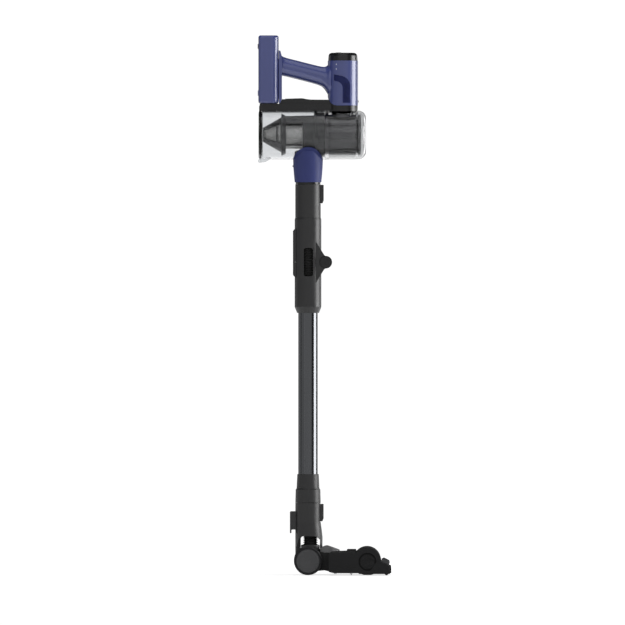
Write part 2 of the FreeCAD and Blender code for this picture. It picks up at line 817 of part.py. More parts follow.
def elbow_lower_shell():
    """Lower half of the folding elbow: tube socket, hose space and the middle hinge knuckle."""
    shell = turned_z(
        [
            (TUBE_SEAT_R, ELBOW_FOOT_Z),
            (22.4, ELBOW_FOOT_Z, 0.8),
            (ELBOW_R, 549.0, 2.0),
            (ELBOW_R, FOLD_Z - FOLD_GAP),
            (ELBOW_INNER_R - 0.2, FOLD_Z - FOLD_GAP),
            (ELBOW_INNER_R - 0.2, FOLD_Z + 1.5),
            (ELBOW_INNER_R - 1.6, FOLD_Z + 1.5),
            (ELBOW_INNER_R - 1.6, FOLD_Z - 4.0),
            (ELBOW_INNER_R, FOLD_Z - 6.0),
            (ELBOW_INNER_R, 594.0),
            (17.5, 594.0),
            (17.5, 590.5),
            (TUBE_SEAT_R, 590.5),
        ]
    )
    wedge = ear_block(-1).cut(bar_z(ELBOW_R - 1.0, 500, 700))
    swing = bar_y(KNUCKLE_R + 0.5, -30, 30, FOLD_X, FOLD_Z)
    wedge = wedge.cut(swing)
    knuckle = bar_y(KNUCKLE_R, -KNUCKLE_HALF, KNUCKLE_HALF, FOLD_X, FOLD_Z)
    web = ear_block(-1).common(box(-20, 20, -KNUCKLE_HALF, KNUCKLE_HALF, 560, 700))
    web = web.cut(bar_z(ELBOW_R - 1.0, 500, 700))
    lower = join(shell, wedge, web, knuckle)
    lower = lower.cut(bar_y(3.0, -40, 40, FOLD_X, FOLD_Z)).cut(fold_window()).cut(lever_well())
    return join(lower, lever_cheeks(-1))


def elbow_upper_shell():
    """Upper half of the folding elbow, with the two outer hinge ears."""
    shell = turned_z(
        [
            (ELBOW_INNER_R, FOLD_Z + FOLD_GAP),
            (ELBOW_R, FOLD_Z + FOLD_GAP),
            (ELBOW_R, 728.0, 2.0),
            (CONNECTOR_R + 0.2, ELBOW_TOP_Z),
            (ELBOW_INNER_R, ELBOW_TOP_Z),
        ]
    )
    wedge = ear_block(1).cut(bar_z(ELBOW_R - 1.0, 500, 800))
    ear = bar_y(KNUCKLE_R, KNUCKLE_HALF + 0.5, EAR_HALF, FOLD_X, FOLD_Z)
    ears = [ear, ear.mirror(V(0, 0, 0), V(0, 1, 0))]
    upper = join(shell, wedge, *ears)
    upper = upper.cut(
        bar_y(KNUCKLE_R + 0.5, -KNUCKLE_HALF - 0.5, KNUCKLE_HALF + 0.5, FOLD_X, FOLD_Z)
    )
    upper = upper.cut(bar_y(3.0 + RUNNING, -40, 40, FOLD_X, FOLD_Z))
    upper = upper.cut(fold_window()).cut(lever_well())
    upper = join(upper, lever_cheeks(1))
    for z in (662.0, 697.0):
        upper = upper.cut(bar_x(2.3, -62, -52, 0, z))
    return upper


def fold_pin():
    """Hinge pin with a round cap on each end."""
    pin = bar_y(3.0, -EAR_HALF - 2, EAR_HALF + 2, FOLD_X, FOLD_Z)
    cap = bar_y(KNUCKLE_R + 0.4, EAR_HALF + 0.3, EAR_HALF + 3.0, FOLD_X, FOLD_Z)
    cap = cap.makeFillet(1.0, edges_where(cap, lambda b: b.YMin > EAR_HALF + 2.9))
    return join(pin, cap, cap.mirror(V(0, 0, 0), V(0, 1, 0)))


def fold_hose():
    """Bellows through the elbow, from the tube's end to the upper connector."""
    return bar_z(19.0, 594.3, 698.5).cut(bar_z(17.0, 590, 702))


def fold_release_lever():
    """Long press lever on the back of the elbow; it travels towards +X."""
    plate = side_plate(
        [
            (-61.2, 611.6),
            (-62.6, 611.6),
            (-64.4, 615.2, 1.2),
            (-64.4, 704.0, 1.2),
            (-62.6, 707.6),
            (-61.2, 707.6),
        ],
        -9.0,
        9.0,
    )
    for i in range(5):
        plate = plate.cut(box(-66, -63.7, -6, 6, 676.0 + 4 * i, 677.6 + 4 * i))
    posts = [bar_x(2.0, -61.4, -55.4, 0, z) for z in (662.0, 697.0)]
    return join(plate, *posts)


def upper_connector():
    """Top of the wand: socket for the handheld's spigot, with the hose seat below."""
    socket = turned_z(
        [
            (17.2, 699.0),
            (ELBOW_INNER_R - 0.1, 699.0),
            (ELBOW_INNER_R - 0.1, ELBOW_TOP_Z + 0.2),
            (CONNECTOR_R, ELBOW_TOP_Z + 0.2),
            (CONNECTOR_R, CONNECTOR_TOP_Z, 0.8),
            (SPIGOT_R + 0.4, CONNECTOR_TOP_Z),
            (SPIGOT_R + 0.4, 752.0),
            (17.2, 748.0),
        ]
    )
    return socket.cut(box(-11.7, 0, -8.4, 8.4, 760.6, 799.8))


def wand_release_button():
    return push_button(761.2, 799.2, -1.3)


# ---------------------------------------------------------------- handheld: inlet and frame
def nozzle_form(inset):
    """The blue inlet's form: round at the wand, widening sideways to saddle the dust cup."""
    return ellipse_loft(
        [
            (804.4, WAND_X, 27.3 - inset, 27.2 - inset),
            (822.0, WAND_X, 29.0 - inset, 30.0 - inset),
            (840.0, WAND_X, 30.2 - inset, 34.5 - inset),
            (858.0, WAND_X, 30.6 - inset, 40.0 - inset),
            (884.0, WAND_X, 30.0 - inset, 44.5 - inset),
        ]
    )


def cup_space(radius):
    """A bar along the cyclone's axis, longer than the cup."""
    return bar_x(radius, -140, 100, 0, CUP_Z)


def inlet_nozzle():
    """Blue inlet shell whose round-topped collar saddles the cup."""
    funnel = nozzle_form(0.0).common(box(-90, 20, -60, 60, 800, 868))
    arch = bar_y(30.0, -60, 60, WAND_X - 0.2, 846.0).fuse(box(-63.7, -3.7, -60, 60, 826, 846))
    collar = cup_space(CUP_R + 2.6).common(arch)
    shell = join(funnel, collar)
    shell = shell.cut(nozzle_form(2.4).common(box(-90, 20, -60, 60, 807, 900)))
    shell = shell.cut(bar_z(SPIGOT_R + 0.1, 800, 900))
    return shell.cut(cup_space(CUP_R + 0.3))


def inlet_duct():
    """Spigot and air duct, from the wand's socket to the cup, with the seal collar."""
    duct = turned_z(
        [
            (17.2, 753.0),
            (SPIGOT_R, 753.0, 1.0),
            (SPIGOT_R, 762.0),
            (SPIGOT_R - 1, 763.0),
            (SPIGOT_R - 1, 766.0),
            (SPIGOT_R, 767.0),
            (SPIGOT_R, 800.8),
            (25.4, 800.8, 0.6),
            (25.4, 804.2),
            (SPIGOT_R, 804.2),
            (SPIGOT_R, 860.0),
            (17.2, 860.0),
        ]
    )
    return duct.cut(cup_space(CUP_R + 0.2))


def inlet_elbow_shape():
    """Curved chute inside the cup that turns the air round the cyclone."""
    block = plan_plate(rectangle(-61.0, -6.5, -22.0, 22.0, 8.0), 852, 873.5)
    block = block.common(cup_space(CUP_R - CUP_WALL - 0.1)).cut(cup_space(CORE_R - 2.4))
    block = block.cut(bar_x(CORE_R, -12.5, -6.0, 0, CUP_Z))
    return block.cut(bar_z(17.2, 840, 900))


def frame_ring():
    """Silver ring between cup and rear shroud."""
    return turned_x(
        [
            (CUP_RIGHT_X + 0.2, CORE_R),
            (CUP_RIGHT_X + 0.2, CUP_R + 0.5, 0.8),
            (RING_RIGHT_X, CUP_R + 0.5, 0.8),
            (RING_RIGHT_X, CORE_R),
        ]
    )


def spine_frame():
    """Black backbone over the cup: rail, raised track with a trough, and the saddle under the pod."""
    rail = side_plate(
        [
            (-132.6, SPINE_Z0),
            (-132.6, SPINE_Z1, 2.0),
            (62.0, SPINE_Z1),
            (62.0, SPINE_Z0),
        ],
        -19.0,
        19.0,
    )
    track = side_plate(
        [
            (-92.4, SPINE_Z1 - 1),
            (-86.4, 974.6),
            (-33.0, 974.4),
            (-28.0, 973.8, 4.0),
            (20.0, 973.4),
            (20.0, SPINE_Z1 - 1),
        ],
        -14.0,
        14.0,
    ).cut(box(-95.0, -33.3, -11.4, 11.4, THUMB_FLOOR_Z - 0.3, 980.0))
    seat = bar_z(POD_R - 0.6, SPINE_Z0 - 1.0, SPINE_Z1, POD_X)
    throat = bar_z(17.0, 940.0, SPINE_Z1, POD_X)
    body = join(rail, track, seat, throat)
    body = body.cut(cup_space(CUP_R + 0.7))
    body = body.cut(pod_form(-0.25)).cut(dock_form(-0.25))
    body = body.cut(box(-140, -128.2, -9.2, 9.2, 940.0, 970.0))
    body = body.cut(box(-130, -52, -4.2, 4.2, 956.0, 961.6))
    body = body.cut(box(-84.0, -44.0, -4.2, 4.2, 958.0, 980.0))
    return body.cut(bar_z(14.0, 900, 1000, POD_X))


# ---------------------------------------------------------------- handheld: handle, pod and dock
def pod_form(inset):
    """Upright round pod, its lower back corner rounded off."""
    tube = bar_z(POD_R - inset, POD_Z0 + inset, POD_Z1, POD_X)
    side = side_plate(
        [
            (POD_X - POD_R + inset, POD_Z1 + 5),
            (POD_X - POD_R + inset, POD_Z0 + inset, POD_HEEL_R - inset),
            (POD_X + POD_R + 5, POD_Z0 + inset),
            (POD_X + POD_R + 5, POD_Z1 + 5),
        ],
        -POD_R - 2,
        POD_R + 2,
    )
    return tube.common(side)


def dock_form(inset):
    """Plate that the battery slides onto."""
    return side_plate(
        [
            (DOCK_X0 - 0.1, 966.0 + inset),
            (DOCK_X0 - 0.1, 1074.0 - inset),
            (DOCK_X1 - inset - 3.2, 1074.0 - inset),
            (DOCK_X1 - inset, 1062.0 - inset, 6.0),
            (DOCK_X1 - inset, 975.0 + inset, 2.0),
            (DOCK_X1 - inset - 4.0, 966.0 + inset),
        ],
        -DOCK_HALF + inset,
        DOCK_HALF - inset,
    )


def grip_form(inset):
    """The sloping oval grip between dock and pod, flaring into both."""
    stations = [
        (-93.0, 1047.2, 26.6, 26.0),
        (-90.0, 1045.0, 22.6, 22.0),
        (-86.0, 1042.6, 20.2, 18.6),
        (-80.0, 1040.7, 19.4, 17.2),
        (-60.0, 1035.6, 19.2, 16.8),
        (-35.0, 1029.2, 19.2, 16.8),
        (-14.0, 1023.6, 19.6, 16.9),
        (-4.0, 1020.2, 21.0, 17.4),
        (3.0, 1016.4, 25.4, 18.8),
        (8.0, 1014.4, 31.6, 20.6),
        (14.0, 1013.4, 37.0, 22.0),
    ]
    rings = []
    for x, z, half_z, half_y in stations:
        ring = Part.Ellipse(V(0, 0, 0), half_z - inset, half_y - inset).toShape()
        ring.rotate(V(0, 0, 0), V(0, 1, 0), -90)
        ring.translate(V(x, 0, z))
        rings.append(Part.Wire(ring))
    return Part.makeLoft(rings, True)


def vent_outline(grow):
    """The bent exhaust patch on the pod's side, as seen from the side."""
    return [
        (19.6 - grow, 1025.4 + grow),
        (52.8 + grow, 1019.0 + grow, 22.0),
        (52.8 + grow, 966.8 - grow),
        (37.4 - grow, 966.8 - grow),
        (37.4 - grow, 1008.0 - grow, 14.0),
        (19.6 - grow, 1012.4 - grow),
    ]


def handle_whole():
    """Both halves of the handle case in one: dock, grip and pod, hollow."""
    grip = grip_form(0.0).common(box(DOCK_X0, 100, -40, 40, 960, 1080))
    outer = join(dock_form(0.0), grip, pod_form(0.0))
    outer = outer.common(box(DOCK_X0, 100, -40, 40, 960, 1080))
    hollow_grip = grip_form(CASE_WALL).common(box(DOCK_X1 - 3, 100, -40, 40, 960, 1060))
    pod_bore = bar_z(POD_R - CASE_WALL, POD_Z0 + CASE_WALL, POD_Z1 + 1, POD_X)
    pod_bore = pod_bore.common(
        side_plate(
            [
                (POD_X - POD_R + CASE_WALL, POD_Z1 + 5),
                (POD_X - POD_R + CASE_WALL, POD_Z0 + CASE_WALL, POD_BORE_HEEL_R),
                (POD_X + POD_R + 5, POD_Z0 + CASE_WALL),
                (POD_X + POD_R + 5, POD_Z1 + 5),
            ],
            -POD_R,
            POD_R,
        )
    )
    inner = join(hollow_grip, pod_bore)
    whole = outer.cut(inner)
    whole = whole.cut(bar_z(14.0, 950, 970, POD_X))
    whole = whole.cut(side_plate(vent_outline(0.0), -40, -15))
    whole = whole.cut(side_plate(vent_outline(0.0), 15, 40))
    rail_stem = box(-97.0, DOCK_X0 + 0.1, -9, 9, 975, 1058)
    rail_head = box(-100.0, -96.8, -13, 13, 975, 1058)
    return join(whole, rail_stem, rail_head)


def handle_left():
    """Left half of the handle case."""
    return handle_whole().common(box(-120, 100, 0.1, 60, 940, 1080))


def handle_right():
    """Right half of the handle case."""
    return handle_whole().common(box(-120, 100, -60, -0.1, 940, 1080))


def exhaust_vents():
    """Louvred exhaust patches, one in each side of the pod."""
    ring = bar_z(POD_R - 0.7, 960, 1060, POD_X).cut(bar_z(POD_R - 2.1, 950, 1070, POD_X))
    patch = ring.common(side_plate(vent_outline(-0.15), 10, 40))
    for i in range(15):
        slot_z = 970.0 + 2.6 * i
        patch = patch.cut(box(40, 50.4, 0, 40, slot_z, slot_z + 0.9))
    patch = max(patch.Solids, key=lambda s: s.Volume)
    return both_sides(patch)


def control_cap():
    """Black cap on the pod with a well for the display."""
    return turned_z(
        [
            (POD_R - 3.6, POD_Z1 - 4.0),
            (POD_R - 2.4, POD_Z1 - 4.0),
            (POD_R - 2.4, POD_Z1 + 0.3),
            (POD_R - 0.9, POD_Z1 + 0.3),
            (POD_R - 2.0, 1069.7, 7.0),
            (21.4, 1069.7, 0.4),
            (21.4, 1066.4),
            (19.0, 1066.4),
            (19.0, 1064.4),
            (POD_R - 3.6, 1062.0),
        ],
        POD_X,
    )


def display_lens():
    """Glossy display disc with a round hole for the power button."""
    disc = turned_z([(0, 1066.6), (21.2, 1066.6), (21.2, 1069.2, 0.5), (0, 1069.6)], POD_X)
    return disc.cut(bar_z(6.2, 1060, 1075, POD_X - 9.0))


def power_button():
    """Round power button; it travels down."""
    knob = bar_z(5.9, 1064.6, 1070.6, POD_X - 9.0)
    return knob.makeFillet(0.9, edges_where(knob, lambda b: b.ZMin > 1070.5))


def motor():
    """Suction motor with its shroud and rubber mount."""
    return turned_z(
        [
            (3.2, 984.0),
            (16.0, 984.0, 2.0),
            (19.0, 988.0, 1.0),
            (19.0, 1012.0),
            (24.0, 1014.0, 1.0),
            (24.0, 1018.0),
            (POD_R - CASE_WALL - 0.1, 1018.0),
            (POD_R - CASE_WALL - 0.1, 1024.0),
            (25.0, 1024.0),
            (25.0, 1042.0, 1.0),
            (23.4, 1042.0),
            (23.4, 1024.5),
            (3.2, 1024.5),
        ],
        POD_X,
    )


def fan_impeller():
    """Nine-bladed impeller on its shaft."""
    hub = turned_z([(0, 1026.0), (21.5, 1026.0), (21.5, 1027.4), (6.0, 1036.0, 2.0), (0, 1038.0)], POD_X)
    shaft = bar_z(3.0, 982.0, 1027.0, POD_X)
    blades = []
    for i in range(9):
        blade = box(POD_X + 5.0, POD_X + 21.5, -0.6, 0.6, 1027.0, 1036.5)
        blade.rotate(V(POD_X + 5.0, 0, 0), V(0, 0, 1), 24)
        blade = blade.common(bar_z(21.5, 1020, 1040, POD_X))
        blade.rotate(V(POD_X, 0, 0), V(0, 0, 1), 40 * i)
        blades.append(blade)
    return join(hub, shaft, *blades)


# ---------------------------------------------------------------- handheld: cup and cyclone
def dust_cup():
    """Clear dust cup with the door's hinge ears and moulded pin."""
    wall = turned_x(
        [
            (CUP_LEFT_X, CUP_R - CUP_WALL),
            (CUP_LEFT_X, CUP_R, 0.6),
            (CUP_RIGHT_X, CUP_R),
            (CUP_RIGHT_X, CUP_R - CUP_WALL),
        ]
    )
    wall = wall.cut(bar_z(17.4, 840, 870))
    ear = side_plate(
        [(-109.0, 853.0), (-120.0, 846.0, 3.0), (-135.6, 844.4, 3.2), (-135.6, 851.2, 3.0), (-124.0, 853.0)],
        10.2,
        13.8,
    )
    ear = ear.cut(cup_space(CUP_R - 0.6))
    other = ear.mirror(V(0, 0, 0), V(0, 1, 0))
    pin = bar_y(1.5, -13.0, 13.0, -132.2, 848.0)
    return join(wall, ear, other, pin)


def dust_door():
    """Door on the cup's end, with hinge knuckle below and catch above."""
    disc = turned_x(
        [
            (-134.8, 0.0),
            (-134.8, 44.0),
            (-134.2, 47.6, 1.0),
            (-132.8, CUP_R, 1.2),
            (-128.6, CUP_R),
            (-128.6, 46.6),
            (-126.6, 46.2, 0.5),
            (-126.6, 43.6),
            (-130.4, 43.0, 1.0),
            (-130.4, 0.0),
        ]
    )
    knuckle = bar_y(3.3, -9.6, 9.6, -132.2, 848.0)
    web = box(-134.6, -130.2, -9.6, 9.6, 848.0, 856.0)
    catch = box(-134.0, -130.4, -8.0, 8.0, 950.0, 961.0)
    ribs = [box(-131.0, -128.4, -0.8 + y, 0.8 + y, 872.0, 932.0) for y in (-20.0, 0.0, 20.0)]
    door = join(disc, knuckle, web, catch, *ribs)
    return door.cut(bar_y(1.5 + RUNNING, -20, 20, -132.2, 848.0))


def door_slider():
    """Thumb slider in the track's trough; its rod runs under the battery to the door's catch."""
    thumb = side_plate(
        [
            (-80.4, THUMB_FLOOR_Z),
            (-80.4, 975.6, 1.0),
            (-46.0, 976.6, 1.5),
            (-33.6, 974.4),
            (-33.6, THUMB_FLOOR_Z),
        ],
        -11.0,
        11.0,
    )
    for i in range(5):
        thumb = thumb.cut(box(-75.0 + 4 * i, -73.4 + 4 * i, -8, 8, 975.0, 978))
    stem = box(-72.0, -58.0, -3.6, 3.6, 957.0, 972.0)
    rod = box(-122.0, -58.0, -3.6, 3.6, 957.0, 960.6)
    return join(thumb, stem, rod)


def cone_windows():
    """The cage's openings on both flanks, in a narrow front row and a long rear row."""
    fan = [(0.0, CUP_Z), (60.0, CUP_Z - 34.0), (60.0, CUP_Z + 52.0)]
    wedge = Part.Face(outline(fan, in_yz))
    windows = []
    for x0, x1 in ((-124.2, -98.8), (-97.0, -90.0)):
        window = wedge.extrude(V(x1 - x0, 0, 0))
        window.translate(V(x0, 0, 0))
        windows.append(both_sides(window))
    return windows


def cup_seal_flange():
    """Wide flange behind the cyclone that closes the cup, open over the inlet."""
    flange = turned_x(
        [
            (-21.4, 38.0),
            (-21.0, CUP_R - CUP_WALL - 0.5, 0.6),
            (-15.4, CUP_R - CUP_WALL - 0.5, 0.6),
            (-15.0, 45.4),
            (0.8, 45.4),
            (0.8, CORE_R + 0.4),
            (-12.5, CORE_R + 0.4),
            (-14.0, 38.0),
        ]
    )
    return flange.cut(bar_z(17.2, 840, 880))


def cyclone_frame():
    """Dark cone cage, skirt and inlet chute of the cyclone."""
    cone = turned_x(
        [(-126.0, 12.4), (-126.0, 14.4), (-87.6, 36.4), (-87.6, 34.4)]
    )
    for window in cone_windows():
        cone = cone.cut(window)
    skirt = turned_x(
        [
            (-88.2, 27.2),
            (-88.2, 43.0, 0.5),
            (-86.6, 43.0, 0.5),
            (-79.0, 38.6),
            (-79.0, 36.8),
            (-86.0, 40.2),
            (-86.0, 29.4),
            (-80.0, 29.4),
            (-80.0, 27.2),
        ]
    )
    collar = turned_x(
        [
            (-45.0, 27.2),
            (-45.0, 29.4),
            (-43.4, 39.4, 0.8),
            (-12.5, CORE_R - 1.0),
            (-12.5, 27.2),
            (-14.5, 27.2),
            (-14.5, 37.0),
            (-41.0, 36.0),
            (-41.0, 27.2),
        ]
    )
    sleeve = turned_x([(-79.5, 36.8), (-79.5, 38.4), (-42.0, 39.6), (-42.0, 38.0)])
    guide = sleeve.common(box(-80, -41, -38, 38, CUP_Z + 24, CUP_Z + 45))
    stays = []
    for i in range(4):
        stay = box(-81.0, -44.0, -1.6, 1.6, CUP_Z + 28.8, CUP_Z + 30.2)
        stay.rotate(V(0, 0, CUP_Z), V(1, 0, 0), 45 + 90 * i)
        stays.append(stay)
    chute = inlet_elbow_shape()
    return join(cone, skirt, collar, cup_seal_flange(), guide, chute, *stays)


def cyclone_mesh():
    """Fine steel mesh: a cone inside the cage and a cylinder behind the skirt."""
    return turned_x(
        [
            (-125.8, 11.0),
            (-125.8, 11.6),
            (-89.4, 32.9),
            (-88.6, 26.8),
            (-79.8, 26.8),
            (-79.0, 28.6),
            (-45.2, 28.6),
            (-45.2, 28.0),
            (-78.6, 28.0),
            (-79.4, 26.2),
            (-89.2, 26.2),
            (-89.9, 31.9),
        ]
    )


def core_housing():
    """Dark filter housing between the cyclone and the end cap, with a round riser to the pod."""
    shell = turned_x(
        [
            (-12.3, 30.0),
            (-12.3, CORE_R - 0.6),
            (0.0, CORE_R - 0.6),
            (1.4, CORE_R - 0.1),
            (RING_RIGHT_X, CORE_R - 0.1),
            (12.0, CORE_R + 0.6, 0.6),
            (65.6, CORE_R + 0.6, 1.0),
            (65.6, 36.8),
            (4.0, 36.8),
            (4.0, 30.0),
        ]
    )
    riser = bar_z(RISER_R, CUP_Z + 20, CUP_Z + CUP_R, POD_X - 1.0)
    riser = riser.common(cup_space(CUP_R - CUP_WALL - 0.3)).cut(cup_space(CORE_R - 1.0))
    return join(shell, riser).cut(bar_z(14.0, 930, 960, POD_X))


def rear_shroud():
    """Clear outer shroud behind the silver ring."""
    shroud = turned_x(
        [
            (RING_RIGHT_X + 0.2, CUP_R - CUP_WALL),
            (RING_RIGHT_X + 0.2, CUP_R),
            (SHROUD_RIGHT_X, CUP_R, 0.5),
            (SHROUD_RIGHT_X, CORE_R + 0.8),
            (SHROUD_RIGHT_X - 2.0, CORE_R + 0.8),
            (SHROUD_RIGHT_X - 2.0, CUP_R - CUP_WALL),
        ]
    )
    return shroud.cut(bar_z(14.0, 930, 960, POD_X))


def filter_cap():
    """Clear rounded end cap that carries the filter."""
    return turned_x(
        [
            (SHROUD_RIGHT_X + 0.4, CORE_R + 1.0),
            (SHROUD_RIGHT_X + 0.4, CUP_R - 0.3, 0.6),
            (CAP_RIGHT_X, CUP_R - 0.3, 15.0),
            (CAP_RIGHT_X, 31.0, 4.0),
            (CAP_RIGHT_X - 1.2, 0.0),
            (CAP_RIGHT_X - 3.4, 0.0),
            (CAP_RIGHT_X - 2.4, 30.0, 3.0),
            (CAP_RIGHT_X - 2.4, CUP_R - 2.7, 12.6),
            (SHROUD_RIGHT_X + 2.6, CUP_R - 2.7),
            (SHROUD_RIGHT_X + 2.6, CORE_R + 1.0),
        ]
    )


def filter_frame():
    """Filter's front plate, core tube and dark pull ring in one moulding."""
    return turned_x(
        [
            (5.0, 0.0),
            (5.0, 33.0, 1.0),
            (7.8, 35.4),
            (7.8, 21.6),
            (63.2, 21.6),
            (63.2, 36.4),
            (67.0, 36.4),
            (69.0, CORE_R + 0.6, 0.6),
            (74.8, CORE_R + 0.6, 1.4),
            (75.8, 32.0, 0.8),
            (72.8, 29.0, 0.8),
            (72.8, 8.0, 0.8),
            (76.4, 6.0, 0.8),
            (76.4, 0.0),
            (70.5, 0.0),
            (70.5, 19.4),
            (7.5, 19.4),
            (7.5, 0.0),
        ]
    )


def hepa_filter():
    """Pleated filter sleeve round the frame's core tube."""
    pleats = 40
    corners = []
    for i in range(2 * pleats):
        radius = 35.2 if i % 2 == 0 else 28.5
        angle = math.pi * i / pleats
        corners.append((radius * math.cos(angle), CUP_Z + radius * math.sin(angle)))
    sleeve = Part.Face(outline(corners, in_yz)).extrude(V(54.6, 0, 0))
    sleeve.translate(V(8.2, 0, 0))
    return sleeve.cut(cup_space(21.8))


# ---------------------------------------------------------------- battery
def battery_form(inset):
    """Battery's outer form: upright block with round corners."""
    rear = BATTERY_X0 + inset
    front = BATTERY_X1 - inset
    side = BATTERY_HALF - inset
    plate = plan_plate(
        [
            (rear, -side, 7.0 - inset),
            (front, -side, 17.5 - inset),
            (front, side, 17.5 - inset),
            (rear, side, 7.0 - inset),
        ],
        BATTERY_Z0 + inset,
        TOTAL_HEIGHT - inset,
    )
    rims = edges_where(plate, lambda b: b.ZLength < 0.01)
    return plate.makeFillet(4.6 - inset, rims)


def battery_case():
    """Battery housing with the rail slot, the button's opening and the charging socket."""
    rail_pocket = box(-102.4, -90.0, -15.6, 15.6, 960.0, 1062.0)
    socket_boss = bar_x(6.5, -140.0, -124.4, 0, SOCKET_Z)
    hollow = battery_form(CASE_WALL).cut(rail_pocket).cut(socket_boss)
    case = battery_form(0.0).cut(hollow)
    stem_slot = box(-97.2, -90.0, -9.4, 9.4, 960.0, 1059.4)
    head_slot = box(-100.4, -96.4, -13.4, 13.4, 960.0, 1059.4)
    case = case.cut(stem_slot).cut(head_slot)
    case = join(case, bar_x(5.6, SOCKET_RIM_X, BATTERY_X0 + 1.0, 0, SOCKET_Z))
    case = case.cut(bar_x(SOCKET_R, -140, -125.2, 0, SOCKET_Z))
    case = case.cut(bar_x(4.4, -140, -134.7, 0, SOCKET_Z))
    return case.cut(box(-140, -131, -8.3, 8.3, 1077.7, 1088.3))


def battery_cells():
    """Six cylindrical cells, one above the other."""
    return Part.makeCompound([bar_y(9.1, -32.5, 32.5, -113.5, 999.5 + 18.7 * i) for i in range(6)])


def battery_release_button():
    """Press bar on the battery's back; it travels towards +X."""
    bar = side_plate(rectangle(-136.7, -132.6, 1078.0, 1088.0, 0.8), -8.0, 8.0)
    return bar


SUBPARTS = [
    head_base,
    head_cover,
    end_caps,
    lamp_lens,
    bumper_strip,
    rear_squeegee,
    brush_motor,
    motor_pulley,
    drive_belt,
    brush_core,
    brush_bristles,
    front_rollers,
    cover_latch,
    seat_frame,
    seat_cover,
    wheel_axles,
    left_wheel_hub,
    right_wheel_hub,
    left_tyre,
    right_tyre,
    swivel_elbow,
    neck_tube,
    neck_hose,
    roll_pins,
    storage_hook,
    head_release_button,
    wand_end_cup,
    wand_tube,
    elbow_lower_shell,
    elbow_upper_shell,
    fold_pin,
    fold_hose,
    fold_release_lever,
    upper_connector,
    wand_release_button,
    inlet_nozzle,
    inlet_duct,
    frame_ring,
    spine_frame,
    handle_left,
    handle_right,
    exhaust_vents,
    control_cap,
    display_lens,
    power_button,
    motor,
    fan_impeller,
    dust_cup,
    dust_door,
    door_slider,
    cyclone_frame,
    cyclone_mesh,
    core_housing,
    rear_shroud,
    filter_cap,
    filter_frame,
    hepa_filter,
    battery_case,
    battery_cells,
    battery_release_button,
]


def build():
    """Writes one STEP file for each sub-part."""
    os.makedirs("parts", exist_ok=True)
    for make in SUBPARTS:
        make().exportStep(os.path.join("parts", make.__name__ + ".step"))


build()
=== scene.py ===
import math
import random

import bmesh
import bpy
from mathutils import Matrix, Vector


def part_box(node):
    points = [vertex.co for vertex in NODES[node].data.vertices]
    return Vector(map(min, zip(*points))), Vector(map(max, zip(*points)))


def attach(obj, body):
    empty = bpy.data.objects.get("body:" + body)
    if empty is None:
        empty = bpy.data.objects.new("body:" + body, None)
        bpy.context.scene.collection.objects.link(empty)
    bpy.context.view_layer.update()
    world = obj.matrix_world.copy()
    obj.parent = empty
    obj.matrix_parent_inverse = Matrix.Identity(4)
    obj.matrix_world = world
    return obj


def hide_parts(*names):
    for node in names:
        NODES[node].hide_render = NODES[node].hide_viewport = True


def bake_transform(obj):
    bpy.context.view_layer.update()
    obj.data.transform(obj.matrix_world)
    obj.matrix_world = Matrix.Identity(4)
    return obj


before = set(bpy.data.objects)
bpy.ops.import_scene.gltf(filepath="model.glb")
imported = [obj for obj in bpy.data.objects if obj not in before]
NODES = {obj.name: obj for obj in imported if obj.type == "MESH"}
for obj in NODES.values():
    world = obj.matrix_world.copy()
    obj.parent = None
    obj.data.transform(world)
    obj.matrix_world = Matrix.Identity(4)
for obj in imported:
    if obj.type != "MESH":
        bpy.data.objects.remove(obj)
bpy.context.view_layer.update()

MM = 0.001


def middle_of(node):
    """The middle of a CAD node's box at rest."""
    low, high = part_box(node)
    return [(a + b) / 2 for a, b in zip(low, high)]


def half_width(node):
    """Half a CAD node's size along X, which is the radius of a round one."""
    low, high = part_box(node)
    return (high[0] - low[0]) / 2


VIEW_WIDTH = 1.281                                   # metres across the picture at the object
VIEW_CENTRE = (-0.0243, 0.0, 0.5375)
LIT_X = -0.02                                        # x that the lights stand round
POD_X = middle_of("control_cap")[0]                  # the upright motor pod's axis
CUP_AXIS_Z = middle_of("frame_ring")[2]              # height of the dust cup's axis
HINGE_X, _, HINGE_Z = middle_of("fold_pin")          # the elbow's hinge axis
CAP_RIM = half_width("fold_pin")                     # radius of the hinge caps
ROLL_X, _, ROLL_Z = middle_of("brush_bristles")      # the brush roll's axis
RECESS_X, RECESS_Z = ROLL_X, ROLL_Z + 0.003          # middle of the round recess in the end caps


# ---------------------------------------------------------------- camera, light and floor
def aim(thing, target):
    """Turns a light or camera to look at a point."""
    way = Vector(target) - thing.location
    thing.rotation_mode = "QUATERNION"
    thing.rotation_quaternion = way.to_track_quat("-Z", "Y")


def add_camera():
    """A very long lens, square onto the object's right side."""
    data = bpy.data.cameras.new("camera")
    data.lens = 900.0
    data.sensor_width = 36.0
    data.clip_end = 100.0
    camera = bpy.data.objects.new("camera", data)
    bpy.context.scene.collection.objects.link(camera)
    target = Vector(VIEW_CENTRE)
    camera.location = target + Vector((0.0, -VIEW_WIDTH * data.lens / data.sensor_width, 0.0))
    aim(camera, target)
    bpy.context.scene.camera = camera


def add_soft_box(name, bearing, distance, height, width, tall, glow, matt=True, gloss=True, tilt_to=None):
    """A soft box of brightness glow. Its bearing is in degrees from the camera's side towards +X."""
    data = bpy.data.lights.new(name, "AREA")
    data.shape = "RECTANGLE"
    data.size = width
    data.size_y = tall
    data.energy = glow * math.pi * width * tall
    light = bpy.data.objects.new(name, data)
    bpy.context.scene.collection.objects.link(light)
    angle = math.radians(bearing)
    light.location = (LIT_X + distance * math.sin(angle), -distance * math.cos(angle), height)
    aim(light, (LIT_X, 0.0, height if tilt_to is None else tilt_to))
    light.visible_camera = False
    light.visible_diffuse = matt
    light.visible_glossy = gloss


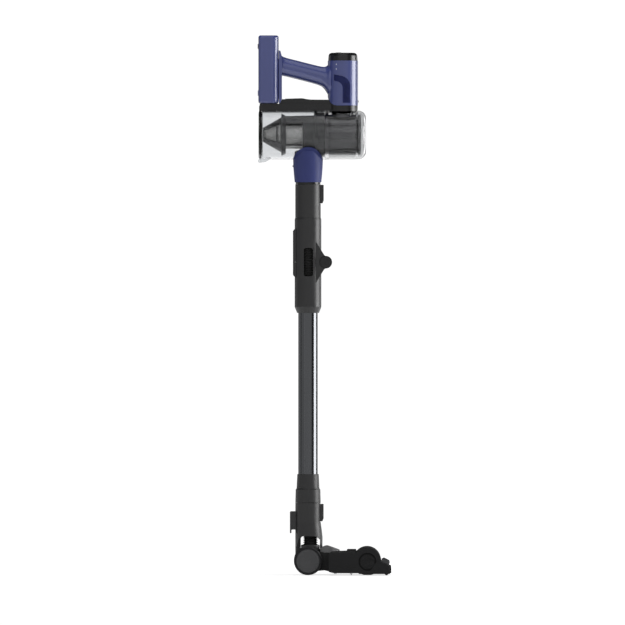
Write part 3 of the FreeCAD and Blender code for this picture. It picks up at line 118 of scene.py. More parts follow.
def add_lights():
    """Panels round the object. The gaps between them make the dark lines on the metal tube."""
    add_soft_box("front_low", 0, 2.4, 0.80, 4.7, 1.4, 0.52)
    add_soft_box("front_high", 0, 2.4, 2.20, 4.0, 1.5, 0.85, tilt_to=0.9)
    add_soft_box("left_front", -64, 2.2, 0.80, 1.75, 1.4, 0.42, matt=False)
    add_soft_box("left_back", -121, 2.2, 0.80, 2.2, 1.4, 0.42)
    add_soft_box("right_strip_gloss", 92, 1.8, 0.80, 1.15, 1.5, 7.5, matt=False)
    add_soft_box("right_strip_matt", 92, 1.8, 0.80, 0.5, 1.5, 5.0, gloss=False)
    add_soft_box("right_back", 142, 2.0, 0.80, 0.5, 1.6, 1.6)
    add_soft_box("top", 0, 0.3, 2.60, 1.4, 1.4, 1.0, tilt_to=0.5)


def add_world():
    """Pure white where the camera sees past the object or through its clear parts, dim grey as a light."""
    world = bpy.data.worlds.new("studio")
    bpy.context.scene.world = world
    world.use_nodes = True
    tree = world.node_tree
    tree.nodes.clear()
    rays = tree.nodes.new("ShaderNodeLightPath")
    seen = tree.nodes.new("ShaderNodeBackground")
    seen.inputs["Color"].default_value = (1.0, 1.0, 1.0, 1.0)
    seen.inputs["Strength"].default_value = 1.05
    lit = tree.nodes.new("ShaderNodeBackground")
    lit.inputs["Color"].default_value = (0.95, 0.97, 1.0, 1.0)
    lit.inputs["Strength"].default_value = 0.06
    choose = tree.nodes.new("ShaderNodeMixShader")
    out = tree.nodes.new("ShaderNodeOutputWorld")
    through = tree.nodes.new("ShaderNodeMath")
    through.operation = "MAXIMUM"
    tree.links.new(rays.outputs["Is Camera Ray"], through.inputs[0])
    tree.links.new(rays.outputs["Is Transmission Ray"], through.inputs[1])
    tree.links.new(through.outputs[0], choose.inputs["Fac"])
    tree.links.new(lit.outputs["Background"], choose.inputs[1])
    tree.links.new(seen.outputs["Background"], choose.inputs[2])
    tree.links.new(choose.outputs["Shader"], out.inputs["Surface"])


def add_floor():
    """Round pale floor; it fades to the white behind it."""
    rings = [0.0, 0.4, 0.8, 1.2, 1.8, 2.6]
    corners = [(0.0, 0.0, 0.0)]
    faces = []
    count = 96
    for ring in rings[1:]:
        for i in range(count):
            angle = 2 * math.pi * i / count
            corners.append((ring * math.cos(angle), ring * math.sin(angle), -0.0004))
    for i in range(count):
        faces.append((0, 1 + i, 1 + (i + 1) % count))
    for k in range(len(rings) - 2):
        inner = 1 + k * count
        outer = inner + count
        for i in range(count):
            j = (i + 1) % count
            faces.append((inner + i, outer + i, outer + j, inner + j))
    mesh = bpy.data.meshes.new("floor")
    mesh.from_pydata(corners, [], faces)
    floor = bpy.data.objects.new("floor", mesh)
    bpy.context.scene.collection.objects.link(floor)
    paint = Paint("floor_white", rough=0.75, specular=0.2)
    grain = paint.noise(240.0, detail=3.0)
    paint.to("Base Color", paint.ramp(grain, [(0.3, (0.93, 0.93, 0.93)), (0.7, (0.97, 0.97, 0.97))]))
    paint.set("Emission Color", (1.0, 1.0, 1.0, 1.0))
    x, y, _ = paint.axes()
    paint.to("Emission Strength", paint.span(paint.reach(x, y), 0.15, 0.9, 0.72, 1.0))
    mesh.materials.append(paint.material)
    floor.visible_diffuse = False


# ---------------------------------------------------------------- procedural materials
class Paint:
    """A material being mixed: small wrappers round its shader nodes. Lengths are in metres."""

    def __init__(self, name, colour=(0.8, 0.8, 0.8), rough=0.5, metal=0.0, specular=0.5):
        self.material = bpy.data.materials.new(name)
        self.material.use_nodes = True
        self.tree = self.material.node_tree
        self.shader = self.tree.nodes["Principled BSDF"]
        self.set("Base Color", (*colour, 1.0))
        self.set("Roughness", rough)
        self.set("Metallic", metal)
        self.set("Specular IOR Level", specular)
        self.place = self.tree.nodes.new("ShaderNodeTexCoord").outputs["Object"]
        self.bumps = None

    def set(self, socket, value):
        """A value that is the same all over the surface."""
        self.shader.inputs[socket].default_value = value

    def to(self, socket, output):
        """A pattern into one of the shader's sockets."""
        self.tree.links.new(output, self.shader.inputs[socket])

    def feed(self, node, socket, value):
        """A number or another node's output into a node's socket."""
        if isinstance(value, bpy.types.NodeSocket):
            self.tree.links.new(value, node.inputs[socket])
        else:
            node.inputs[socket].default_value = value

    def math(self, kind, a, b=0.0):
        """One sum on patterns or numbers."""
        node = self.tree.nodes.new("ShaderNodeMath")
        node.operation = kind
        self.feed(node, 0, a)
        self.feed(node, 1, b)
        return node.outputs[0]

    def axes(self):
        """The x, y and z of each place on the surface."""
        node = self.tree.nodes.new("ShaderNodeSeparateXYZ")
        self.feed(node, 0, self.place)
        return node.outputs["X"], node.outputs["Y"], node.outputs["Z"]

    def stretched(self, scale):
        """The surface's places with each axis scaled, to stretch a pattern."""
        node = self.tree.nodes.new("ShaderNodeVectorMath")
        node.operation = "MULTIPLY"
        self.feed(node, 0, self.place)
        self.feed(node, 1, scale)
        return node.outputs[0]

    def noise(self, scale, detail=2.0, rough=0.5, where=None):
        """Cloudy pattern from 0 to 1, scale lumps to the metre."""
        node = self.tree.nodes.new("ShaderNodeTexNoise")
        self.feed(node, "Vector", where or self.place)
        self.feed(node, "Scale", scale)
        self.feed(node, "Detail", detail)
        self.feed(node, "Roughness", rough)
        return node.outputs["Fac"]

    def ramp(self, fac, stops):
        """Colours by a pattern, from (value, colour) stops."""
        node = self.tree.nodes.new("ShaderNodeValToRGB")
        self.feed(node, "Fac", fac)
        line = node.color_ramp.elements
        while len(line) < len(stops):
            line.new(0.5)
        for element, (at, colour) in zip(line, stops):
            element.position = at
            element.color = (*colour, 1.0)
        return node.outputs["Color"]

    def reach(self, a, b):
        """Distance from an axis, from the two coordinates across it."""
        squares = self.math("ADD", self.math("MULTIPLY", a, a), self.math("MULTIPLY", b, b))
        return self.math("SQRT", squares)

    def span(self, value, low, high, to_low, to_high):
        """A pattern's range low to high stretched onto to_low to to_high, and held beyond it."""
        node = self.tree.nodes.new("ShaderNodeMapRange")
        for socket, number in zip(("Value", "From Min", "From Max", "To Min", "To Max"),
                                  (value, low, high, to_low, to_high)):
            self.feed(node, socket, number)
        return node.outputs["Result"]

    def mix(self, fac, a, b):
        """Colour a where fac is 0, colour b where it is 1."""
        node = self.tree.nodes.new("ShaderNodeMix")
        node.data_type = "RGBA"
        self.feed(node, 0, fac)
        self.feed(node, 6, a if isinstance(a, bpy.types.NodeSocket) else (*a, 1.0))
        self.feed(node, 7, b if isinstance(b, bpy.types.NodeSocket) else (*b, 1.0))
        return node.outputs[2]

    def bump(self, height, depth):
        """Adds a height pattern to the surface, depth metres from its 0 to its 1."""
        node = self.tree.nodes.new("ShaderNodeBump")
        node.inputs["Strength"].default_value = 1.0
        node.inputs["Distance"].default_value = depth
        self.feed(node, "Height", height)
        if self.bumps:
            self.tree.links.new(self.bumps, node.inputs["Normal"])
        self.bumps = node.outputs["Normal"]
        self.to("Normal", self.bumps)

    def worn_edges(self):
        """1 along sharp edges, 0 on flat and smooth places, broken up by noise.
        An edge shows where the rounded normal leans away from the true one."""
        soft = self.tree.nodes.new("ShaderNodeBevel")
        soft.samples = 4
        soft.inputs["Radius"].default_value = 0.0007
        flat = self.tree.nodes.new("ShaderNodeNewGeometry")
        dot = self.tree.nodes.new("ShaderNodeVectorMath")
        dot.operation = "DOT_PRODUCT"
        self.tree.links.new(soft.outputs["Normal"], dot.inputs[0])
        self.tree.links.new(flat.outputs["Normal"], dot.inputs[1])
        edge = self.span(dot.outputs["Value"], 0.995, 0.86, 0.0, 1.0)
        patchy = self.span(self.noise(55.0, detail=4.0), 0.46, 0.62, 0.0, 1.0)
        return self.math("MULTIPLY", edge, patchy)


def plastic(name, colour, rough, grain=0.00045, depth=0.000012, drift=0.07, coat=0.0, specular=0.5):
    """Moulded plastic: fine grain, faint flow in the colour, handled patches in the gloss, rubbed edges.
    Grain is the size and depth the height of its texture; drift is the flow's share of the colour."""
    paint = Paint(name, colour, rough, specular=specular)
    flow = paint.noise(11.0, detail=4.0)
    low = tuple(c * (1 - drift) for c in colour)
    high = tuple(c * (1 + drift) for c in colour)
    tint = paint.ramp(flow, [(0.32, low), (0.68, high)])
    speck = paint.span(paint.noise(1 / grain, detail=1.0), 0.35, 0.65, 0.0, 1.0)
    pale = tuple(min(c * 1.7 + 0.004, 1.0) for c in colour)
    tint = paint.mix(paint.math("MULTIPLY", speck, 0.10), tint, pale)
    rubbed = tuple(min(c * 1.5 + 0.012, 1.0) for c in colour)
    tint = paint.mix(paint.math("MULTIPLY", paint.worn_edges(), 0.7), tint, rubbed)
    paint.to("Base Color", tint)
    handled = paint.noise(24.0, detail=5.0, rough=0.6)
    gloss = paint.span(handled, 0.3, 0.7, rough * 0.88, rough * 1.14)
    fine = paint.span(speck, 0.0, 1.0, -0.02, 0.02)
    paint.to("Roughness", paint.math("ADD", gloss, fine))
    paint.bump(paint.noise(1 / grain, detail=2.0), depth)
    if coat:
        paint.set("Coat Weight", coat)
        paint.set("Coat Roughness", 0.12)
    return paint


def head_side_plastic():
    """The end caps' plastic: as the head's, with painted shade in the round recess: darker on the recess's
    floor, and darkest beside its wall, which is a painted shadow.
    """
    paint = plastic("head_plastic_shaded_recess", (0.040, 0.040, 0.041), 0.55, specular=0.10)
    plain = paint.shader.inputs["Base Color"].links[0].from_socket
    x, y, z = paint.axes()
    reach = paint.reach(paint.math("SUBTRACT", x, RECESS_X), paint.math("SUBTRACT", z, RECESS_Z))
    face_y, outside, shade_from, shade_full = 0.1176, 0.0190, 0.0155, 0.0170
    # painted shade: the recess's floor is darkened
    floor = paint.math("LESS_THAN", paint.math("ABSOLUTE", y), face_y)
    floor = paint.math("MULTIPLY", floor, paint.math("LESS_THAN", reach, outside))
    # painted shadow: a near-black ring along the inside of the recess's wall
    rim_shade = paint.math("MULTIPLY", floor, paint.span(reach, shade_from, shade_full, 0.0, 1.0))
    tint = paint.mix(paint.math("MULTIPLY", floor, 0.75), plain, (0.014, 0.014, 0.014))
    paint.to("Base Color", paint.mix(rim_shade, tint, (0.0008, 0.0008, 0.0008)))
    return paint


def hinge_cap_plastic():
    """The round hinge caps at the elbow: dark face inside a darker rim, which is painted shade in place of
    the groove round each cap.
    """
    paint = plastic("hinge_cap_plastic", (0.024, 0.024, 0.025), 0.42, grain=0.0003, specular=0.30)
    plain = paint.shader.inputs["Base Color"].links[0].from_socket
    x, _, z = paint.axes()
    reach = paint.reach(paint.math("SUBTRACT", x, HINGE_X), paint.math("SUBTRACT", z, HINGE_Z))
    # painted shade: a dark ring just inside the cap's edge
    rim_shade = paint.span(reach, CAP_RIM - 0.0016, CAP_RIM - 0.0008, 0.0, 1.0)
    paint.to("Base Color", paint.mix(rim_shade, plain, (0.0015, 0.0015, 0.0015)))
    return paint


def brushed_tube():
    """Dark anodised aluminium: fine draw lines along the tube, soft smudges in the gloss."""
    paint = Paint("tube_dark_anodised", (0.12, 0.124, 0.13), 0.2, metal=1.0)
    lines = paint.noise(1.0, detail=3.0, where=paint.stretched((2600.0, 2600.0, 2.0)))
    paint.to("Base Color", paint.ramp(lines, [(0.3, (0.112, 0.115, 0.121)), (0.7, (0.130, 0.134, 0.141))]))
    smudge = paint.noise(14.0, detail=5.0, rough=0.6)
    gloss = paint.span(smudge, 0.3, 0.7, 0.11, 0.17)
    paint.to("Roughness", paint.math("ADD", gloss, paint.span(lines, 0.3, 0.7, -0.02, 0.02)))
    paint.bump(lines, 0.0000006)
    return paint


def metal(name, colour, rough, scratch=700.0, spin=None):
    """Machined or pressed metal with fine scratches."""
    paint = Paint(name, colour, rough, metal=1.0)
    scratches = paint.noise(scratch, detail=4.0, where=paint.stretched(spin or (1.0, 0.06, 1.0)))
    paint.to("Base Color", paint.ramp(scratches, [(0.3, tuple(c * 0.86 for c in colour)), (0.7, colour)]))
    paint.to("Roughness", paint.span(scratches, 0.3, 0.7, rough * 0.8, rough * 1.25))
    paint.bump(scratches, 0.000006)
    return paint


def mesh_steel():
    """Etched steel mesh: rows of tiny holes round the cyclone's axis, with dust-dulled metal between."""
    paint = Paint("mesh_steel_etched", (0.34, 0.34, 0.33), 0.38, metal=0.9)
    x, y, z = paint.axes()
    waves_round, wave_length = 84.0, 0.0021
    turn = paint.math("ARCTAN2", y, paint.math("SUBTRACT", z, CUP_AXIS_Z))
    across = paint.math("MULTIPLY", turn, waves_round)
    along = paint.math("MULTIPLY", x, 2.0 * math.pi / wave_length)
    holes = paint.math("MULTIPLY", paint.math("SINE", across), paint.math("SINE", along))
    open_part = paint.math("GREATER_THAN", paint.math("ABSOLUTE", holes), 0.50)
    dust = paint.noise(420.0, detail=3.0)
    greys = [(0.30, (0.19, 0.19, 0.185)), (0.55, (0.40, 0.395, 0.385)), (0.75, (0.60, 0.59, 0.57))]
    paint.to("Base Color", paint.ramp(dust, greys))
    paint.to("Roughness", paint.span(dust, 0.3, 0.7, 0.30, 0.52))
    paint.to("Alpha", paint.span(open_part, 0.0, 1.0, 1.0, 0.10))
    paint.bump(paint.math("ABSOLUTE", holes), 0.00012)
    return paint


def clear_plastic(name, tint=(0.80, 0.81, 0.82), rough=0.03):
    """Clear polycarbonate that bends light, with a faint smoke tint, handling smears and moulding waves."""
    paint = Paint(name, tint, rough, specular=0.5)
    paint.set("Transmission Weight", 1.0)
    paint.set("IOR", 1.49)
    paint.set("Specular Tint", (0.3, 0.3, 0.3, 1.0))
    smear = paint.noise(30.0, detail=4.0)
    paint.to("Base Color", paint.ramp(smear, [(0.3, tint), (0.7, tuple(c * 0.95 for c in tint))]))
    paint.to("Roughness", paint.span(smear, 0.4, 0.75, rough * 0.6, rough * 2.2))
    paint.bump(paint.noise(9.0, detail=1.0), 0.00015)
    return paint


def sealed_door():
    """The dust door: clear in its middle, with a black seal moulded round its rim."""
    paint = clear_plastic("clear_door_with_seal")
    tint = paint.shader.inputs["Base Color"].links[0].from_socket
    x, y, z = paint.axes()
    reach = paint.reach(y, paint.math("SUBTRACT", z, CUP_AXIS_Z))
    inner_radius, outer_face, above_hinge = 0.0425, -0.1336, 0.862
    seal = paint.math("GREATER_THAN", reach, inner_radius)
    seal = paint.math("MULTIPLY", seal, paint.math("GREATER_THAN", x, outer_face))
    seal = paint.math("MULTIPLY", seal, paint.math("GREATER_THAN", z, above_hinge))
    paint.to("Transmission Weight", paint.math("SUBTRACT", 1.0, seal))
    paint.to("Base Color", paint.mix(seal, tint, (0.008, 0.008, 0.008)))
    return paint


def rubber(name, colour=(0.012, 0.012, 0.012), rough=0.72):
    """Matt rubber with fine pores and a little dust."""
    paint = Paint(name, colour, rough, specular=0.35)
    pores = paint.noise(2400.0, detail=2.0)
    dust = paint.noise(60.0, detail=5.0, rough=0.65)
    paint.to("Base Color", paint.ramp(dust, [(0.35, colour), (0.8, tuple(c * 2.4 + 0.006 for c in colour))]))
    paint.to("Roughness", paint.span(dust, 0.3, 0.7, rough * 0.9, min(rough * 1.15, 0.95)))
    paint.bump(pores, 0.00002)
    return paint


def filter_paper():
    """Pleated filter fleece with fibres along the pleats."""
    paint = Paint("filter_fleece", (0.80, 0.79, 0.75), 0.95, specular=0.1)
    fibres = paint.noise(1.0, detail=6.0, rough=0.7, where=paint.stretched((900.0, 2600.0, 2600.0)))
    paint.to("Base Color", paint.ramp(fibres, [(0.3, (0.62, 0.61, 0.57)), (0.6, (0.84, 0.83, 0.79))]))
    paint.bump(fibres, 0.00012)
    return paint


def lamp_glass():
    """Smoked lamp cover with fine upright ribs."""
    paint = Paint("lamp_clear", (0.50, 0.52, 0.55), 0.12, specular=0.6)
    rib_pitch = 0.0024
    _, y, _ = paint.axes()
    ribs = paint.math("SINE", paint.math("MULTIPLY", y, 2.0 * math.pi / rib_pitch))
    greys = [(0.3, (0.035, 0.036, 0.040)), (0.7, (0.06, 0.062, 0.068))]
    paint.to("Base Color", paint.ramp(paint.noise(40.0), greys))
    paint.to("Roughness", paint.span(ribs, -1.0, 1.0, 0.10, 0.20))
    paint.bump(ribs, 0.00018)
    return paint


def black_glass():
    """Smoked display window: deep black, polished, with a few faint wipe marks."""
    paint = Paint("display_glass", (0.004, 0.004, 0.005), 0.06, specular=0.6)
    wipes = paint.noise(1.0, detail=4.0, where=paint.stretched((60.0, 380.0, 60.0)))
    paint.to("Roughness", paint.span(wipes, 0.45, 0.75, 0.045, 0.13))
    paint.to("Base Color", paint.ramp(wipes, [(0.4, (0.0035, 0.0035, 0.0045)), (0.8, (0.008, 0.008, 0.010))]))
    paint.set("Coat Weight", 0.6)
    paint.set("Coat Roughness", 0.03)
    return paint


def glowing(name, colour, strength):
    """A small lit lens, softly uneven. Where it is put on a printed mark, its glow is painted light."""
    paint = Paint(name, colour, 0.35)
    paint.set("Emission Color", (*colour, 1.0))
    paint.set("Emission Strength", strength)
    shade = paint.noise(900.0, detail=1.0)
    paint.to("Base Color", paint.ramp(shade, [(0.3, tuple(c * 0.8 for c in colour)), (0.7, colour)]))
    return paint


def brush_pile():
    """Dark blue nylon bristles."""
    paint = Paint("brush_pile", (0.05, 0.055, 0.16), 0.8, specular=0.2)
    strands = paint.noise(1.0, detail=3.0, where=paint.stretched((1800.0, 1800.0, 1800.0)))
    paint.to("Base Color", paint.ramp(strands, [(0.3, (0.020, 0.024, 0.09)), (0.7, (0.08, 0.09, 0.26))]))
    paint.to("Roughness", paint.span(strands, 0.3, 0.7, 0.65, 0.9))
    return paint


def make_paints():
    """Every material by the record's slot name, plus the few for single nodes and new pieces."""
    paints = {
        "indigo_plastic": plastic("indigo_satin",
            (0.088, 0.114, 0.385), 0.34, depth=0.000003, drift=0.04, coat=0.8),
        "indigo_soft": plastic("indigo_soft_satin",
            (0.080, 0.100, 0.330), 0.46, depth=0.000004, drift=0.04, specular=0.15),
        "dark_plastic": plastic("charcoal_plastic",
            (0.034, 0.034, 0.035), 0.40, depth=0.000004, specular=0.42),
        "vent_indigo": plastic("vent_deep_indigo", (0.020, 0.028, 0.150), 0.46, specular=0.2),
        "core_gloss": metal("housing_metallised",
            (0.115, 0.115, 0.118), 0.14, scratch=500.0, spin=(0.05, 1.0, 1.0)),
        "ring_smoke": clear_plastic("ring_smoke", tint=(0.66, 0.66, 0.67), rough=0.12),
        "head_plastic": plastic("head_plastic_matt", (0.038, 0.038, 0.039), 0.52, specular=0.10),
        "head_side": head_side_plastic(),
        "hinge_cap": hinge_cap_plastic(),
        "black_plastic": plastic("black_gloss_plastic", (0.010, 0.010, 0.011), 0.24, depth=0.000005),
        "grey_plastic": plastic("grey_plastic_satin", (0.085, 0.086, 0.090), 0.38),
        "seat_grey": plastic("seat_grey_satin", (0.25, 0.25, 0.255), 0.34),
        "button_plastic": plastic("button_plastic_fine", (0.018, 0.018, 0.019), 0.42, grain=0.0003),
        "silver_plastic": plastic("silver_paint",
            (0.42, 0.42, 0.43), 0.25, grain=0.0002, depth=0.000004, coat=0.5),
        "clear_plastic": clear_plastic("clear_polycarbonate"),
        "clear_shroud": clear_plastic("clear_shroud", tint=(0.66, 0.665, 0.67)),
        "dust_door": sealed_door(),
        "tube_aluminium": brushed_tube(),
        "mesh_steel": mesh_steel(),
        "steel": metal("steel_turned", (0.62, 0.62, 0.63), 0.28),
        "motor_metal": metal("motor_zinc", (0.55, 0.56, 0.57), 0.35),
        "brush_motor_can": metal("motor_can", (0.42, 0.42, 0.43), 0.33),
        "soft_rubber": rubber("soft_rubber_black"),
        "tread": rubber("tyre_tread", (0.010, 0.010, 0.011), 0.7),
        "pile": brush_pile(),
        "filter_media": filter_paper(),
        "lamp_lens": lamp_glass(),
        "display": black_glass(),
        "cell_wrap": plastic("cell_sleeve", (0.03, 0.16, 0.12), 0.3, grain=0.0002),
        "led_white": glowing("led_white", (0.95, 0.97, 1.0), 0.6),
        "display_light": glowing("display_light", (0.55, 0.70, 1.0), 1.6),
        "dot_plastic": plastic("dot_plastic", (0.075, 0.075, 0.077), 0.5, specular=0.2),
        # painted shade: the dark sheets behind the vents
        "vent_shade_sheet": rubber("vent_shade_sheet", (0.016, 0.020, 0.075), 0.9),
        "contact_gold": metal("contact_gold", (0.85, 0.62, 0.28), 0.25),
    }
    return {name: paint.material for name, paint in paints.items()}


NODE_PAINTS = {
    "end_caps": "head_side",
    "fold_pin": "hinge_cap",
    "seat_cover": "seat_grey",
    "rear_shroud": "clear_shroud",
    "filter_cap": "clear_shroud",
    "dust_door": "dust_door",
    "exhaust_vents": "vent_indigo",
    "frame_ring": "ring_smoke",
    "core_housing": "core_gloss",
    "inlet_nozzle": "indigo_soft",
    "filter_frame": "core_gloss",
}


def paint_nodes(paints):
    """Gives every CAD node its procedural material."""
    for name, node in NODES.items():
        slot = node.data.materials[0].name.split(".")[0]
        node.data.materials[0] = paints[NODE_PAINTS.get(name, slot)]


# ---------------------------------------------------------------- pieces
def piece(name, corners, faces, material, smooth=True):
    """A new mesh object in the frame's coordinates, with its faces turned outwards."""
    mesh = bpy.data.meshes.new(name)
    mesh.from_pydata(corners, [], faces)
    mesh.materials.append(material)
    shell = bmesh.new()
    shell.from_mesh(mesh)
    bmesh.ops.recalc_face_normals(shell, faces=shell.faces)
    shell.to_mesh(mesh)
    shell.free()
    if smooth:
        mesh.shade_smooth()
    thing = bpy.data.objects.new(name, mesh)
    bpy.context.scene.collection.objects.link(thing)
    return thing


def turned(profile, origin, axis, count):
    """Corners and faces of a closed (radius, distance) profile turned about an axis through origin."""
    axis = Vector(axis).normalized()
    side = axis.orthogonal().normalized()
    other = axis.cross(side)
    corners = []
    faces = []
    for radius, along in profile:
        for i in range(count):
            angle = 2 * math.pi * i / count
            out = side * math.cos(angle) + other * math.sin(angle)
            corners.append(Vector(origin) + axis * along + out * radius)
    rings = len(profile)
    for k in range(rings):
        for i in range(count):
            j = (i + 1) % count
            a = k * count
            b = (k + 1) % rings * count
            faces.append((a + i, a + j, b + j, b + i))
    return corners, faces


def bellows(name, node, low, high, deep, pitch, material):
    """Corrugated hose in place of a plain one, along Z from low to high between two bodies.
    Its round crests are as wide as the node, and its valleys lie deep below them."""
    x, y, _ = middle_of(node)
    radius = half_width(node)
    profile = []
    steps = 8
    rings = round((high - low) / pitch)
    total = rings * steps
    for k in range(total + 1):
        wave = math.cos(2 * math.pi * k / steps)
        profile.append((radius - deep / 2 + deep / 2 * wave, low + (high - low) * k / total))
    inner = [(radius - deep - 0.001, along) for _, along in (profile[-1], profile[0])]
    corners, faces = turned(profile + inner, (x, y, 0.0), (0, 0, 1), 72)
    hose = piece(name, corners, faces, material)
    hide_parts(node)
    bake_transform(hose)


def make_bellows(paints):
    """The hoses at the neck and at the elbow."""
    black = paints["soft_rubber"]
    bellows("neck_bellows", "neck_hose",
            0.048, 0.095, 0.0026, 0.0037, black)
    bellows("fold_bellows", "fold_hose",
            0.5945, 0.6983, 0.0030, 0.0052, black)


def make_brush_pile(paints):
    """Six straight rows of tufts, each a fan of tapered bristles, on the roll's core."""
    rng = random.Random(7)
    centre = Vector((ROLL_X, 0.0, ROLL_Z))
    corners = []
    faces = []
    rows, bristles, pitch, first, last = 6, 7, 0.0032, -0.1025, 0.0875
    root, short, long = 0.0138, 0.0232, 0.0243       # radii of the bristles' feet and tips
    stray = 0.0012
    count = int((last - first) / pitch)
    for row in range(rows):
        for t in range(count):
            y = first + pitch * (t + 0.5)
            for _ in range(bristles):
                angle = 2 * math.pi * row / rows + rng.uniform(-0.13, 0.13)
                lean = rng.uniform(-0.06, 0.06)
                foot = Vector((math.cos(angle), 0, math.sin(angle)))
                tip = Vector((math.cos(angle + lean), 0, math.sin(angle + lean)))
                at = y + rng.uniform(-stray, stray)
                base = centre + foot * root + Vector((0, at, 0))
                top = centre + tip * rng.uniform(short, long)
                top += Vector((0, at + rng.uniform(-stray, stray), 0))
                along = (top - base).normalized()
                side = along.orthogonal().normalized()
                other = along.cross(side)
                start = len(corners)
                for spot, thick in ((base, 0.00042), (top, 0.00026)):
                    for i in range(3):
                        turn = 2 * math.pi * i / 3
                        corners.append(spot + (side * math.cos(turn) + other * math.sin(turn)) * thick)
                for i in range(3):
                    j = (i + 1) % 3
                    faces.append((start + i, start + j, start + 3 + j, start + 3 + i))
                faces.append((start + 3, start + 4, start + 5))
    pile = piece("brush_tufts", corners, faces, paints["pile"])
    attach(pile, "brush_roll")
    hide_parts("brush_bristles")


def arc_bar(centre, radius, width, start, end, low, high, steps=16):
    """Corners and faces of a flat bar bent round a vertical axis, from one angle to another in degrees."""
    corners = []
    faces = []
    for k in range(steps + 1):
        angle = math.radians(start + (end - start) * k / steps)
        for reach, height in ((radius - width / 2, low), (radius + width / 2, low),
                              (radius + width / 2, high), (radius - width / 2, high)):
            corners.append((centre[0] + reach * math.cos(angle), centre[1] + reach * math.sin(angle), height))
    for k in range(steps):
        for i in range(4):
            j = (i + 1) % 4
            faces.append((4 * k + i, 4 * k + j, 4 * k + 4 + j, 4 * k + 4 + i))
    last = 4 * steps
    faces += [(3, 2, 1, 0), (last, last + 1, last + 2, last + 3)]
    return corners, faces


def gather(parts):
    """Several corner and face lists in one."""
    corners = []
    faces = []
    for more, sides in parts:
        first = len(corners)
        corners += [tuple(c) for c in more]
        faces += [tuple(first + i for i in side) for side in sides]
    return corners, faces


def fix(thing, body):
    """Fixes a hard piece to its body."""
    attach(thing, body)


def make_display(paints):
    """Charge bars in an arc on the display, and the ring and stroke on the power button."""
    middle = middle_of("display_lens")
    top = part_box("display_lens")[1][2]
    radius, width, sweep = 0.0158, 0.0016, 20
    bars = [arc_bar(middle, radius, width, start, start + sweep, top - 0.0007, top - 0.00015)
            for start in range(-64, 45, 27)]
    fix(piece("display_bars", *gather(bars), paints["display_light"], smooth=False), "handheld")
    middle = middle_of("power_button")
    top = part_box("power_button")[1][2] + 0.00012
    foot = top - 0.00042
    ring = arc_bar(middle, 0.0027, 0.0006, -145, 145, foot, top, 28)
    stroke = arc_bar(middle, 0.0022, 0.0026, 166, 194, foot, top, 2)
    # The power symbol is printed; its glow from the led_white paint is a painted highlight.
    mark = piece("power_mark", *gather([ring, stroke]), paints["led_white"], smooth=False)
    fix(mark, "power_button")


def stud(foot, way, radius, tall, dome=0.3, count=24):
    """A low round stud standing on a surface at foot. Its edge is rounded over dome of its height."""
    sink = 0.0008
    round_part = tall * dome
    profile = [(radius * 0.02, -sink), (radius, -sink), (radius, tall - round_part)]
    for k in range(1, 5):
        turn = math.pi / 2 * k / 5
        profile.append((radius - round_part * (1 - math.cos(turn)), tall - round_part * (1 - math.sin(turn))))
    profile += [(radius - round_part, tall), (radius * 0.02, tall)]
    return turned(profile, foot, way, count)


def make_nubs(paints):
    """Rubber stops on the pod's foot and the inlet's back, and the two pilot lights on the pod."""
    front = stud((POD_X + 0.0302, 0.0, 0.9700), (1, 0, 0), 0.0019, 0.0020)
    fix(piece("pod_stop", *front, paints["soft_rubber"]), "handheld")
    rear = stud((-0.0633, 0.0, 0.8374), (-1, 0, 0), 0.0018, 0.0019)
    fix(piece("inlet_stop", *rear, paints["soft_rubber"]), "handheld")
    lights = []
    for height in (1.0459, 1.0362):
        for side in (-1, 1):
            out = Vector((-0.0135, side * 0.02790, 0.0))
            lights.append(stud(Vector((POD_X, 0.0, height)) + out, out, 0.0008, 0.00025, count=12))
    fix(piece("pilot_lights", *gather(lights), paints["led_white"]), "handheld")


def screw(foot, way):
    """A low screw head with a six-lobed recess. Its rings are radius, height and depth of the lobes."""
    radius = 0.0030
    axis = Vector(way).normalized()
    side = axis.orthogonal().normalized()
    other = axis.cross(side)
    rings = [(radius, -0.0010, 0.0), (radius, 0.00015, 0.0), (radius * 0.86, 0.00045, 0.0),
             (radius * 0.50, 0.00050, 0.16), (radius * 0.46, -0.0008, 0.16), (radius * 0.05, -0.0009, 0.0)]
    count = 36
    corners = []
    faces = []
    for reach, along, lobe in rings:
        for i in range(count):
            angle = 2 * math.pi * i / count
            r = reach * (1 + lobe * math.cos(6 * angle))
            out = side * math.cos(angle) + other * math.sin(angle)
            corners.append(Vector(foot) + axis * along + out * r)
    for k in range(len(rings) - 1):
        for i in range(count):
            j = (i + 1) % count
            faces.append((k * count + i, k * count + j, (k + 1) * count + j, (k + 1) * count + i))
    return corners, faces


def make_screws(paints):
    """Screws on the handle's left side and under the floor head."""
    grip = [((-0.0700, 0.0168, 1.0382), (0, 1, 0)), ((-0.0220, 0.0168, 1.0256), (0, 1, 0))]
    fix(piece("grip_screws", *gather([screw(*spot) for spot in grip]), paints["steel"]), "handheld")
    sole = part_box("head_base")[0][2]
    spots = [(0.022, y, sole) for y in (-0.085, 0.085)] + [(0.0545, y, sole) for y in (-0.102, 0.102)]
    under = [screw(spot, (0, 0, -1)) for spot in spots]
    fix(piece("sole_screws", *gather(under), paints["steel"]), "floor_head")


def make_socket_pin(paints):
    """The centre pin of the charging socket."""
    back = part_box("battery_case")[0][0]
    pin = stud((back + 0.0112, 0.0, 0.9870), (-1, 0, 0), 0.00085, 0.0082, dome=0.1, count=16)
    fix(piece("socket_pin", *pin, paints["contact_gold"]), "battery")


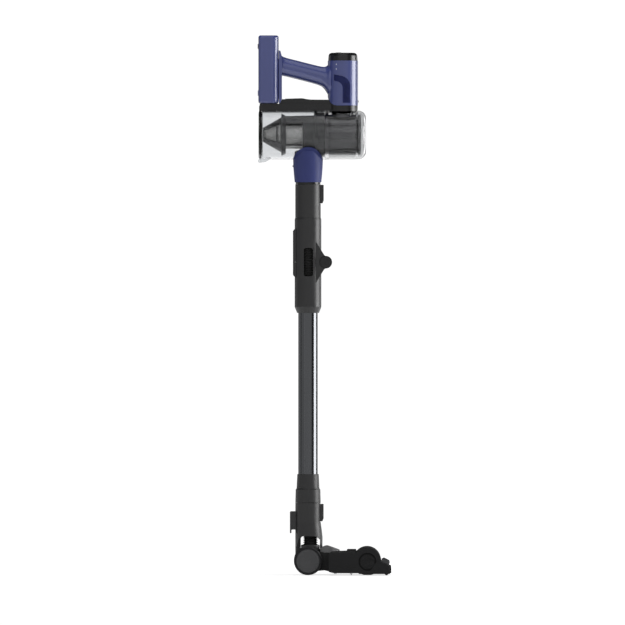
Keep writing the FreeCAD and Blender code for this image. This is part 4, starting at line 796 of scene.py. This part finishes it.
def make_tyres(paints):
    """Tyres with crosswise tread grooves either side of a channel round the middle.
    The outline's points are radius and distance from the object's middle, in mm."""
    blocks, steps, groove = 48, 6, 0.6
    grooved = ((28.9, 48.6), (28.9, 51.2), (28.9, 52.4), (28.9, 55.0))
    outline = [(24.6, 46.4), (27.2, 46.4), (28.4, 46.9), (29.0, 48.2), grooved[0], grooved[1],
               (28.3, 51.4), (28.3, 52.2), grooved[2], grooved[3], (28.8, 55.3), (28.1, 56.6),
               (26.9, 57.4), (25.6, 57.6), (24.6, 57.6)]
    count = blocks * steps
    for name, side in (("left", 1), ("right", -1)):
        x, _, z = middle_of(name + "_tyre")
        corners = []
        faces = []
        for radius, across in outline:
            for i in range(count):
                angle = 2 * math.pi * i / count
                cut = groove if i % steps < 2 and (radius, across) in grooved else 0.0
                reach = (radius - cut) * MM
                corners.append((x + reach * math.cos(angle), side * across * MM,
                                z + reach * math.sin(angle)))
        for k in range(len(outline)):
            for i in range(count):
                j = (i + 1) % count
                a = k * count
                b = (k + 1) % len(outline) * count
                faces.append((a + i, a + j, b + j, b + i))
        tyre = piece(name + "_tread", corners, faces, paints["tread"])
        tyre.data.set_sharp_from_angle(angle=math.radians(28))
        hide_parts(name + "_tyre")
        fix(tyre, "wheel_" + name)


def make_cap_dots(paints):
    """Staggered rows of small raised dots on the floor of each end cap's recess."""
    reach, pitch = 0.0142, 0.0036
    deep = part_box("end_caps")[1][1] - 0.0013
    dots = []
    for row in range(-8, 9):
        for column in range(-4, 5):
            across = pitch * (column + 0.5 * (row % 2))
            up = pitch * 0.5 * row
            if math.hypot(across, up) < reach:
                for side in (-1, 1):
                    foot = (RECESS_X + across, side * deep, RECESS_Z + up)
                    dots.append(stud(foot, (0, side, 0), 0.0007, 0.0004, count=10))
    fix(piece("cap_dots", *gather(dots), paints["dot_plastic"]), "floor_head")


def make_vent_shade_sheets(paints):
    """Dark foam sheets behind the exhaust louvres, one curved sheet in each side of the pod. They stand in
    for the shade inside the pod and hide the lit parts behind the vents, so their darkness is painted shade.
    """
    radius, thick, low, high = 0.0279, 0.0012, 0.9690, 1.0172
    sheets = [arc_bar((POD_X, 0.0), radius, thick, side * 56, side * 126, low, high, 20) for side in (-1, 1)]
    fix(piece("vent_shade_sheet", *gather(sheets), paints["vent_shade_sheet"], smooth=False), "handheld")


def make_all_pieces(paints):
    """Everything drawn beside the CAD: hoses and tyres in place of plain ones, and small details."""
    make_bellows(paints)
    make_brush_pile(paints)
    make_display(paints)
    make_nubs(paints)
    make_screws(paints)
    make_socket_pin(paints)
    make_vent_shade_sheets(paints)
    make_cap_dots(paints)
    make_tyres(paints)


# ---------------------------------------------------------------- the scene
bpy.context.scene.view_settings.view_transform = "Standard"
add_camera()
add_world()
add_lights()
add_floor()
PAINTS = make_paints()
paint_nodes(PAINTS)
make_all_pieces(PAINTS)
